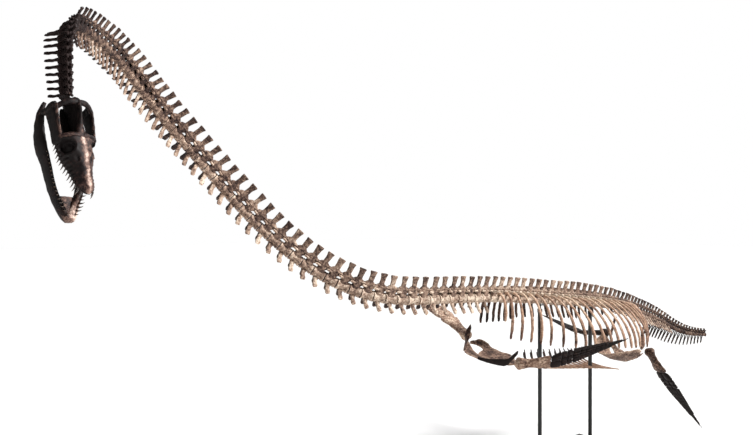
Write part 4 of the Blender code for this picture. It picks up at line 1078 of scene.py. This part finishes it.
for number, (label, (root, elbow, tip, chord)) in enumerate(LIMBS.items()):
    pair, side = label.split("_")
    start, bend, end = (place(root[0], root[1] + up, root[2] + left, tail)
                        for tail, up, left in ((0, 0, 0), elbow, tip))
    hint = sum(way * part for way, part in zip(axes(root[0]), chord))
    joint_run = unit(unit(bend - start) + unit(end - bend))
    upper = Limb(start, bend, joint_run, hint, 1.0)
    lower = Limb(bend + joint_run * JOINT_GAP, end, joint_run, hint, 0.0)
    upper_name = UPPER_NAMES[pair] + "_" + side
    upper_tone, paddle_tone = LIMB_TONE[label]
    upper_bone(upper, upper_tone, number).piece(
        upper_name + "_bone", GIRDLE_BONE, [upper_name], "girdles_and_flippers")
    paddle(lower, paddle_tone, number).piece(
        "finger_bones_" + label, GIRDLE_BONE, ["paddle_" + label], "girdles_and_flippers", 40.0)

# ---------------------------------------------------------------- skull and jaw

# The skull's own frame: its joint with the neck, the ways forward and up, and the jaw's opening.
SKULL_ORIGIN = np.array((-5.236, -1.196, 3.478))
SKULL_FORWARD = unit(np.array((0.095, -0.35, -0.93)))
SKULL_TOP = square_to(np.array((0.32, -0.88, 0.34)), SKULL_FORWARD)
SKULL_LEFT = unit(np.cross(SKULL_TOP, SKULL_FORWARD))
SKULL_WAYS = np.stack([SKULL_FORWARD, SKULL_TOP, SKULL_LEFT])
JAW_GAPE = math.radians(9.5)
JAW_FORWARD = SKULL_FORWARD * math.cos(JAW_GAPE) - SKULL_TOP * math.sin(JAW_GAPE)
JAW_TOP = SKULL_TOP * math.cos(JAW_GAPE) + SKULL_FORWARD * math.sin(JAW_GAPE)
JAW_WAYS = np.stack([JAW_FORWARD, JAW_TOP, SKULL_LEFT])
JAW_JOINT = (0.020, -0.092)


def skull_place(rows):
    """World points from rows of (ahead, up, left) in the skull's own frame."""
    return SKULL_ORIGIN + np.asarray(rows, float) @ SKULL_WAYS


def jaw_place(rows):
    """World points from rows of (ahead, up, left) in the jaw's frame, which opens at its joint."""
    joint = SKULL_ORIGIN + SKULL_FORWARD * JAW_JOINT[0] + SKULL_TOP * JAW_JOINT[1]
    return joint + np.asarray(rows, float) @ JAW_WAYS


# Half sections of the face, from behind the orbits to the snout: metres ahead, then the points of
# its left half as (outward, up) from the roof's middle over the brow, cheek and tooth margin to
# the palate's middle.
FACE_AT = (0.172, 0.190, 0.245, 0.290, 0.330, 0.375, 0.415, 0.443, 0.461)
FACE = np.array((
    ((0, 0.050), (0.036, 0.050), (0.080, 0.017), (0.085, -0.010), (0.080, -0.046),
     (0.040, -0.028), (0, -0.026)),
    ((0, 0.052), (0.036, 0.052), (0.081, 0.016), (0.086, -0.012), (0.081, -0.048),
     (0.040, -0.030), (0, -0.028)),
    ((0, 0.052), (0.036, 0.049), (0.070, 0.017), (0.079, -0.018), (0.075, -0.051),
     (0.036, -0.036), (0, -0.030)),
    ((0, 0.050), (0.029, 0.045), (0.057, 0.017), (0.069, -0.018), (0.068, -0.048),
     (0.034, -0.034), (0, -0.026)),
    ((0, 0.046), (0.022, 0.041), (0.044, 0.016), (0.056, -0.010), (0.057, -0.034),
     (0.030, -0.022), (0, -0.016)),
    ((0, 0.041), (0.018, 0.037), (0.034, 0.016), (0.047, -0.001), (0.049, -0.021),
     (0.026, -0.012), (0, -0.006)),
    ((0, 0.037), (0.015, 0.033), (0.029, 0.018), (0.041, 0.006), (0.043, -0.011),
     (0.022, -0.004), (0, 0.000)),
    ((0, 0.031), (0.012, 0.028), (0.022, 0.018), (0.030, 0.010), (0.033, -0.004),
     (0.016, 0.000), (0, 0.003)),
    ((0, 0.018), (0.006, 0.017), (0.010, 0.014), (0.013, 0.009), (0.014, 0.004), (0.008, 0.004),
     (0, 0.005)),
))
FACE_MARGIN = 4           # which of those points is the tooth margin
# Openings: the centre (ahead, outward, up), the half size along the skull and across, the depth.
ORBIT = ((0.236, 0.0630, 0.0150), (0.036, 0.042), 0.030)
NOSTRIL = ((0.300, 0.0340, 0.0350), (0.015, 0.012), 0.006)
BROW_OUT, BROW_UP = 0.774, 0.634  # the way that the openings face, outward and up
SOCKET_SPACING = 0.0182   # metres between the swellings over the tooth sockets


def rounded(points, times=3, cut=0.22):
    """Cut the corners of closed outlines (rows, points, 2). Each time doubles their points."""
    for _ in range(times):
        after = np.roll(points, -1, axis=1)
        points = np.stack([(1 - cut) * points + cut * after, cut * points + (1 - cut) * after], 2)
        points = points.reshape(len(points), -1, 2)
    return points


def sunk(ahead, outward, up, opening, sign):
    """How far each point moves for one opening, inward in its oval and outward along its rim, and
    how deep in the oval it lies, from 0 to 1."""
    (at, out, height), (long, high), depth = opening
    across = (outward - sign * out) * sign * -BROW_UP + (up - height) * BROW_OUT
    far = np.sqrt(((ahead - at) / long) ** 2 + (across / high) ** 2)
    far = np.where(outward * sign > 0.4 * out, far, 9.0)
    hollow = np.clip((1.0 - far) / 0.42, 0, 1)
    hollow = hollow * hollow * (3 - 2 * hollow)
    return depth * hollow - 0.10 * depth * np.exp(-((far - 1.16) / 0.14) ** 2), hollow


def face():
    """The solid face: rings through the half sections and their mirror images, corners rounded,
    with sunken orbits and nostrils, raised rims, and a swelling over each tooth socket."""
    t, shrink = ends(120, 0.80, 0.45)
    ahead = FACE_AT[0] + (FACE_AT[-1] - FACE_AT[0]) * t
    half = np.stack([np.stack([eased(ahead, FACE_AT, FACE[:, k, n]) for n in (0, 1)], -1)
                     for k in range(FACE.shape[1])], 1)
    ring = rounded(np.concatenate([half, half[:, -2:0:-1] * np.array((-1, 1))], 1))
    middle = ring.mean(1, keepdims=True)
    ring = middle + (ring - middle) * shrink[:, None, None]
    outward, up = ring[..., 0], ring[..., 1]
    a = np.broadcast_to(ahead[:, None], up.shape)
    # painted light: paler along the middle of the roof and on the left side, which faces the key
    # light
    tone = 0.22 + 0.75 * np.exp(-((outward - 0.002) / 0.014) ** 2) * (up > 0.012)
    tone = tone + 0.36 * np.clip(outward / 0.03, 0, 1)
    for sign in (1, -1):
        for opening in (ORBIT, NOSTRIL):
            push, hollow = sunk(a, outward, up, opening, sign)
            outward = outward - sign * BROW_OUT * push
            up = up - BROW_UP * push
            # painted shade deep in the orbits and nostrils, and painted light on their raised rims
            tone = tone - 0.75 * hollow + 8.0 * np.clip(-push, 0, 0.01)
    edge = eased(ahead, FACE_AT, FACE[:, FACE_MARGIN, 0])[:, None]
    margin = np.exp(-((np.abs(outward) - edge) / 0.012) ** 2) * (up < 0.012)
    outward = outward * (1 + 0.035 * margin * np.sin(TAU * a / SOCKET_SPACING))
    rings = skull_place(np.stack([a, up, outward], -1))
    return uneven(rings, "face"), np.stack([a, outward, up], -1), tone


# Bars of the skull: rows of (ahead, up, outward, half width, half thickness), the direction that
# their width takes, and how pale they are. The paler bars are painted light, and the dark
# braincase, palate and pterygoids inside the skull painted shade.
MIDDLE_BARS = {
    "sagittal_crest": (((0.012, 0.045, 0, 0.024, 0.020), (0.040, 0.066, 0, 0.012, 0.018),
                        (0.075, 0.066, 0, 0.0075, 0.018), (0.125, 0.055, 0, 0.009, 0.014),
                        (0.180, 0.043, 0, 0.022, 0.012), (0.225, 0.042, 0, 0.030, 0.010)),
                       (0, 0, 1), 0.34),
    "braincase": (((-0.010, 0.000, 0, 0.015, 0.015), (0.004, 0.002, 0, 0.021, 0.019),
                   (0.020, 0.012, 0, 0.034, 0.040), (0.070, 0.014, 0, 0.017, 0.046),
                   (0.130, 0.010, 0, 0.013, 0.044), (0.195, 0.006, 0, 0.012, 0.036)),
                  (0, 0, 1), -0.10),
    "palate": (((0.020, -0.034, 0, 0.030, 0.006), (0.080, -0.034, 0, 0.040, 0.006),
                (0.150, -0.032, 0, 0.056, 0.006), (0.200, -0.030, 0, 0.064, 0.006)),
               (0, 0, 1), -0.10),
}
SIDE_BARS = {
    "nuchal_arch": (((0.050, 0.022, 0.082, 0.013, 0.009), (0.044, 0.040, 0.070, 0.013, 0.010),
                     (0.036, 0.058, 0.048, 0.014, 0.011), (0.034, 0.068, 0.024, 0.014, 0.012),
                     (0.038, 0.070, 0.004, 0.013, 0.012)), (1, 0, 0), 0.26),
    "quadrate": (((0.036, 0.026, 0.079, 0.018, 0.009), (0.034, -0.010, 0.083, 0.021, 0.009),
                  (0.036, -0.048, 0.082, 0.018, 0.010), (0.026, -0.086, 0.080, 0.014, 0.015)),
                 (1, 0, 0), 0.10),
    "temporal_bar": (((0.036, 0.034, 0.080, 0.010, 0.007), (0.065, 0.030, 0.083, 0.0085, 0.006),
                      (0.100, 0.027, 0.083, 0.0080, 0.006), (0.168, 0.016, 0.081, 0.010, 0.006),
                      (0.200, 0.014, 0.080, 0.010, 0.006)), (0, 1, 0), 0.46),
    "cheek": (((0.026, -0.030, 0.082, 0.034, 0.006), (0.075, -0.014, 0.087, 0.038, 0.0055),
               (0.125, -0.012, 0.086, 0.036, 0.0055), (0.180, -0.016, 0.084, 0.036, 0.006),
               (0.212, -0.020, 0.081, 0.032, 0.006)), (0, 1, 0), 0.14),
    "postorbital": (((0.190, 0.008, 0.084, 0.010, 0.007), (0.190, 0.030, 0.068, 0.009, 0.007),
                     (0.190, 0.046, 0.040, 0.009, 0.007), (0.190, 0.049, 0.006, 0.014, 0.008)),
                    (1, 0, 0), 0.40),
    "pterygoid": (((0.026, -0.076, 0.072, 0.011, 0.006), (0.060, -0.044, 0.044, 0.013, 0.006),
                   (0.110, -0.036, 0.030, 0.014, 0.006)), (0, 1, 0), -0.05),
}


def skull_bar(rows, way, side):
    """One bar, whose half width lies along a way of the skull, mirrored when side is -1."""
    rows = np.array(rows, float)
    centres = skull_place(rows[:, :3] * np.array((1, 1, side)))
    hint = np.array(way, float) @ SKULL_WAYS
    rings, grain = bar_along(centres, rows[:, 3:], hint, 26, 0.6, 0.6, 14, 0.9)
    return uneven(rings, "skull_bar"), grain


# The left branch of the jaw from its joint to the chin: metres ahead, outward and up, then half
# its height and half its thickness.
JAW_AT = (-0.045, -0.010, 0.060, 0.110, 0.166, 0.246, 0.333, 0.401, 0.455, 0.495)
JAW_OUT = (0.070, 0.080, 0.090, 0.094, 0.096, 0.085, 0.070, 0.050, 0.026, 0.003)
JAW_UP = (0.014, -0.002, -0.012, -0.012, -0.002, 0.006, 0.003, -0.002, -0.004, 0.006)
JAW_HIGH = (0.011, 0.021, 0.036, 0.042, 0.045, 0.036, 0.030, 0.026, 0.025, 0.024)
JAW_THICK = (0.009, 0.012, 0.013, 0.013, 0.013, 0.013, 0.014, 0.016, 0.019, 0.022)
# The plate of bone between the two branches at the chin, as a bar in the jaw's frame.
CHIN_PLATE = ((0.385, -0.014, 0, 0.044, 0.004), (0.415, -0.014, 0, 0.038, 0.008),
              (0.455, -0.010, 0, 0.022, 0.014), (0.490, -0.002, 0, 0.008, 0.016))
# painted light: the chin plate is painted pale
CHIN_TONE = 0.62


def jaw_body():
    """The lower jaw as one bow: from one joint to the chin and back, an upright oval section that
    is deepest behind the teeth and thick at the chin."""
    rows = np.stack([JAW_AT, JAW_UP, JAW_OUT, JAW_HIGH, JAW_THICK], -1)
    chin, other = rows[-1:] * np.array((1, 1, 0, 1, 1)), rows[-2::-1] * np.array((1, 1, -1, 1, 1))
    rows = np.concatenate([rows[:-1], chin, other])
    steps = np.linalg.norm(np.diff(rows[:, :3], axis=0), axis=1)
    reach = np.concatenate([[0], np.cumsum(steps)])
    t, shrink = ends(110, 0.5, 0.5)
    at = t * reach[-1]
    high, thick = (shrink ** 0.5 * eased(at, reach, rows[:, k]) for k in (3, 4))
    rings, grain = tube(jaw_place(spline(reach, rows[:, :3], at)), JAW_TOP, high, thick, 18, 0.85)
    # painted light: paler at the chin, on the left branch beside it and on the upper half of the
    # bone
    chin = np.exp(-((at - 0.5 * reach[-1]) / 0.050) ** 2)
    share = at / reach[-1]
    lit = np.clip((0.51 - share) / 0.03, 0, 1) * np.clip((share - 0.36) / 0.06, 0, 1)
    tone = 0.08 + (0.42 * chin + 0.50 * lit)[None, :, None] + (grain[..., 1] > 0) * 0.10
    return uneven(rings, "jaw"), grain, tone


def chin_plate():
    """The thin floor of bone that joins the branches behind the chin."""
    rows = np.array(CHIN_PLATE, float)
    rings, grain = bar_along(jaw_place(rows[:, :3]), rows[:, 3:], SKULL_LEFT, 22, 0.7, 0.5, 20, 0.8)
    return uneven(rings, "chin"), grain, CHIN_TONE


# Where the sockets of the upper teeth lie: metres ahead, outward and up.
MARGIN_AT = (0.126, 0.190, 0.245, 0.290, 0.330, 0.375, 0.415, 0.447)
MARGIN_OUT = (0.080, 0.078, 0.072, 0.064, 0.054, 0.046, 0.040, 0.026)
MARGIN_UP = (-0.040, -0.046, -0.048, -0.044, -0.031, -0.019, -0.009, -0.001)
TOOTH_RINGS = np.array((0, 0.2, 0.45, 0.7, 0.88, 1.0))
# A row of teeth in each jaw. Sockets: metres ahead at both ends of the row and their number;
# lengths: metres ahead and the teeth's length there. Then how far the root lies over the margin,
# the tip's shift ahead and up in tooth lengths, how far it splays, and the least girth.
UPPER_TEETH = {
    "seed": 5, "sockets": (0.140, 0.447, 18),
    "lengths": ((0.13, 0.20, 0.30, 0.36, 0.43, 0.447),
                (0.012, 0.016, 0.021, 0.026, 0.033, 0.030)),
    "root": 0.008, "slant": 0.3, "rise": -0.9, "splay": 0.004, "girth": 0.0030,
}
LOWER_TEETH = {
    "seed": 6, "sockets": (0.190, 0.470, 17),
    "lengths": ((0.19, 0.30, 0.36, 0.44, 0.470), (0.009, 0.014, 0.024, 0.036, 0.030)),
    "root": -0.012, "slant": 0.0, "rise": 1.0, "splay": 0.006, "girth": 0.0034,
}
TOOTH_TONE = 0.30


def upper_margin(ahead):
    """Outward and up of the upper sockets."""
    return eased(ahead, MARGIN_AT, MARGIN_OUT), eased(ahead, MARGIN_AT, MARGIN_UP)


def lower_margin(ahead):
    """Outward and up of the lower jaw's upper edge."""
    return (eased(ahead, JAW_AT, JAW_OUT),
            eased(ahead, JAW_AT, JAW_UP) + eased(ahead, JAW_AT, JAW_HIGH))


def teeth(row, margin, put):
    """Curved conical teeth on both sides of one jaw: a path bent forward from each root to its
    tip, whose girth shrinks to a point. Each tooth's length is the row's, give or take a fifth."""
    luck = np.random.default_rng(row["seed"]).uniform(-1, 1, (2, row["sockets"][2]))
    ahead = np.linspace(*row["sockets"])
    out, edge = margin(ahead)
    roots, tips, girth = [], [], []
    for line, side in enumerate((1, -1)):
        length = np.interp(ahead, *row["lengths"]) * (1 + 0.22 * luck[line])
        roots.append(np.stack([ahead, edge + row["root"], side * out], -1))
        tips.append(np.stack([ahead + 0.010 + row["slant"] * length, edge + row["rise"] * length,
                              side * (out + row["splay"])], -1))
        girth.append(row["girth"] + 0.06 * length)
    roots, tips, girth = (np.concatenate(rows) for rows in (roots, tips, girth))
    roots, tips = put(roots), put(tips)
    t = TOOTH_RINGS
    bow = 0.10 * np.linalg.norm(tips - roots, axis=-1)[:, None, None] * SKULL_FORWARD
    path = roots[:, None] + (tips - roots)[:, None] * t[:, None] + bow * np.sin(np.pi * t)[:, None]
    wide = girth[:, None] * (1 - t ** 1.4 * 0.90)
    rings, grain = tube(path, SKULL_FORWARD, wide, wide * 0.9, 8)
    return Bones().add(rings, grain, TOOTH_TONE + 0.45 * t[None, :, None])


skull = Bones().add(*face())
for rows, way, tone in MIDDLE_BARS.values():
    skull.add(*skull_bar(rows, way, 1), tone)
for side in (1, -1):
    for rows, way, tone in SIDE_BARS.values():
        skull.add(*skull_bar(rows, way, side), tone)
skull.piece("skull_bones", SKULL_BONE, ["skull"], "skull_bone")
teeth(UPPER_TEETH, upper_margin, skull_place).piece("upper_teeth", ENAMEL, [], "skull_bone")
jaw = Bones().add(*jaw_body()).add(*chin_plate())
jaw.piece("lower_jaw", SKULL_BONE, ["mandible"], "skull_bone")
teeth(LOWER_TEETH, lower_margin, jaw_place).piece("lower_teeth", ENAMEL, [], "skull_bone")

# ---------------------------------------------------------------- stand

BASE_TOP = 0.080
ROD_RADIUS = 0.022
ROD_AT = {"front": 73, "rear": 81}      # the vertebrae that the posts carry
ROD_BELOW = 0.016         # gap between a centrum and the end of its post
FLANGE_LIFT = 0.0006      # the flange rests this far over the base, so that no faces coincide
# The turned post as (radius, height): heights from the base, then negative ones from its top.
POST_PROFILE = np.array((
    (0.012, 0.0), (0.060, 0.0), (0.062, 0.002), (0.062, 0.008), (0.060, 0.010), (0.030, 0.010),
    (0.0285, 0.012), (0.0285, 0.042), (0.0270, 0.045), (ROD_RADIUS, 0.046), (ROD_RADIUS, 0.40),
    (ROD_RADIUS, 0.80), (ROD_RADIUS, 1.20), (ROD_RADIUS, -0.070), (0.0265, -0.068),
    (0.0265, -0.034), (0.0250, -0.030), (0.012, -0.028)))
BOLT_HEAD = np.array(((0.0066, 0.0100), (0.0066, 0.0150), (0.0060, 0.0158), (0.0040, 0.0160)))
BOLT_CIRCLE = 0.047
BOLTS = 4
CRADLE_REACH = 0.9        # radians round the centrum to each side
CRADLE_BAR = (0.026, 0.0045)      # half width and half thickness of the cradle's strap
NECK_RADIUS = 0.013


def turned(x, y, radius, z, sides):
    """Rings of the given radii and heights about an upright axis through (x, y)."""
    angle = TAU * np.arange(sides) / sides
    return np.stack([x + radius[:, None] * np.cos(angle), y + radius[:, None] * np.sin(angle),
                     np.broadcast_to(z[:, None], (len(z), sides))], -1)


def stand_rod(name, s):
    """A turned post: rings about its own axis for a foot flange, a collar, the tube and a neck,
    then four bolt heads, and a curved cradle under the vertebra."""
    t, u, w = axes(s)
    drop = sized(s, CENTRUM_RADIUS)
    top = place(s, -drop - ROD_BELOW)
    x, y, _ = top
    low = BASE_TOP + FLANGE_LIFT
    radius, height = POST_PROFILE.T
    bones = Bones()
    bones.add(turned(x, y, radius, np.where(height < 0, top[2] + height, low + height), 48))
    for k in range(BOLTS):
        angle = TAU * (k + 0.5) / BOLTS
        bones.add(turned(x + BOLT_CIRCLE * math.cos(angle), y + BOLT_CIRCLE * math.sin(angle),
                         BOLT_HEAD[:, 0], low + BOLT_HEAD[:, 1], 6))
    bend = np.linspace(-CRADLE_REACH, CRADLE_REACH, 24)
    lift = drop * 0.94 + 0.005
    cradle = (backbone(s) + w * (lift * np.sin(bend))[:, None]
              - u * (lift * np.cos(bend))[:, None])
    _, shrink = ends(24, 0.6, 0.6)
    bones.add(*tube(cradle, t, CRADLE_BAR[0] * shrink, CRADLE_BAR[1] * shrink, 12, 0.6))
    under = place(s, -lift)
    neck = np.stack([top - np.array((0, 0, 0.036)), top + 0.4 * (under - top), under])
    bones.add(*tube(neck, (1, 0, 0), NECK_RADIUS, NECK_RADIUS, 16))
    bones.piece(name + "_post", STEEL, [name], "stand_posts", 30.0)


for word, number in ROD_AT.items():
    stand_rod("stand_rod_" + word, float(number))
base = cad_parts["stand_base"]
base.data.materials.clear()
base.data.materials.append(OAK)
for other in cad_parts.values():
    if other.hide_render is False and other.name != "stand_base":
        raise RuntimeError("no looks for " + other.name)

# ---------------------------------------------------------------- floor, light and camera

FLOOR_HALF = 60.0
FLOOR_CLOUDS = 0.8        # clouds in the floor's paint a metre: 1.25 m across
ROOM_LIGHT = 0.13         # strength of the room's light, against 1 on its white wall
WALL_EDGE = (0.45, 0.80)  # cosines between which the room turns into that wall
CAMERA_AT = (-5.820, -4.317, 2.95)
CAMERA_TURN = 37.0        # degrees of its level heading, from +Y toward +X
IMAGE_WIDTH = 753.0       # pixels
FOCAL_PIXELS = 620.0
SENSOR = 36.0             # millimetres
# Lamps: kind, place, aim, strength, tint, and the softness of the sun or the size of the panel.
LAMPS = {
    "key": ("SUN", (6.4, -6.4, 8.0), (-0.2, -0.2, 2.0), 5.4, "#FFFFFF",
            {"angle": math.radians(12.0)}),
    "rim": ("AREA", (-1.0, 7.5, 7.5), (-1.5, 0.0, 2.5), 420.0, "#F6F8FF",
            {"shape": "SQUARE", "size": 4.0}),
}


def put_in(name, data, at=(0, 0, 0), way=None):
    """A new object in the scene that looks along a way."""
    item = bpy.data.objects.new(name, data)
    item.location = at
    if way is not None:
        item.rotation_euler = way.to_track_quat("-Z", "Y").to_euler()
    bpy.context.scene.collection.objects.link(item)
    return item


def studio():
    """A pale floor that meets the white wall of a dim room, a broad key light from the right and
    above, a soft one from behind, and a level camera."""
    size = FLOOR_HALF
    corners = [(-size, -size, 0), (size, -size, 0), (size, size, 0), (-size, size, 0)]
    mesh = bpy.data.meshes.new("floor")
    mesh.from_pydata(corners, [], [(0, 1, 2, 3)])
    material, tree, shader = new_material("matte_floor_paint")
    spot = node(tree, "TexCoord", "Object")
    cloud = node(tree, "TexNoise", "Fac", {"Vector": spot}, in_Scale=FLOOR_CLOUDS, in_Detail=3.0)
    paint = node(tree, "ValToRGB", "Color", {"Fac": cloud}, ((0.3, "#F2F1EF"), (0.7, "#F7F6F4")))
    fill(tree, shader, {"Base Color": paint}, in_Roughness=0.9)
    mesh.materials.append(material)
    put_in("floor", mesh)

    heading = math.radians(CAMERA_TURN)
    ahead = Vector((math.sin(heading), math.cos(heading), 0.0))
    world = bpy.context.scene.world or bpy.data.worlds.new("room")
    bpy.context.scene.world = world
    world.use_nodes = True
    tree = world.node_tree
    way = node(tree, "TexCoord", "Generated")
    toward = node(tree, "VectorMath", "Value", {0: way}, operation="DOT_PRODUCT",
                  in_1=tuple(ahead))
    glow = node(tree, "MapRange", "Result", {"Value": toward}, interpolation_type="SMOOTHSTEP",
                in_1=WALL_EDGE[0], in_2=WALL_EDGE[1], in_3=ROOM_LIGHT, in_4=1.0)
    fill(tree, tree.nodes["Background"], {"Strength": glow}, in_Color=colour("#FFFFFF"))

    for name, (kind, at, aim, strength, tint, settings) in LAMPS.items():
        light = bpy.data.lights.new(name, kind)
        light.energy = strength
        light.color = colour(tint)[:3]
        for key, value in settings.items():
            setattr(light, key, value)
        put_in(name, light, at, Vector(aim) - Vector(at))

    camera = bpy.data.cameras.new("camera")
    camera.lens = FOCAL_PIXELS / IMAGE_WIDTH * SENSOR
    camera.sensor_width = SENSOR
    camera.clip_end = 200.0
    bpy.context.scene.camera = put_in("camera", camera, CAMERA_AT, ahead)
    bpy.context.scene.view_settings.view_transform = "Standard"


studio()

bpy.context.view_layer.update()
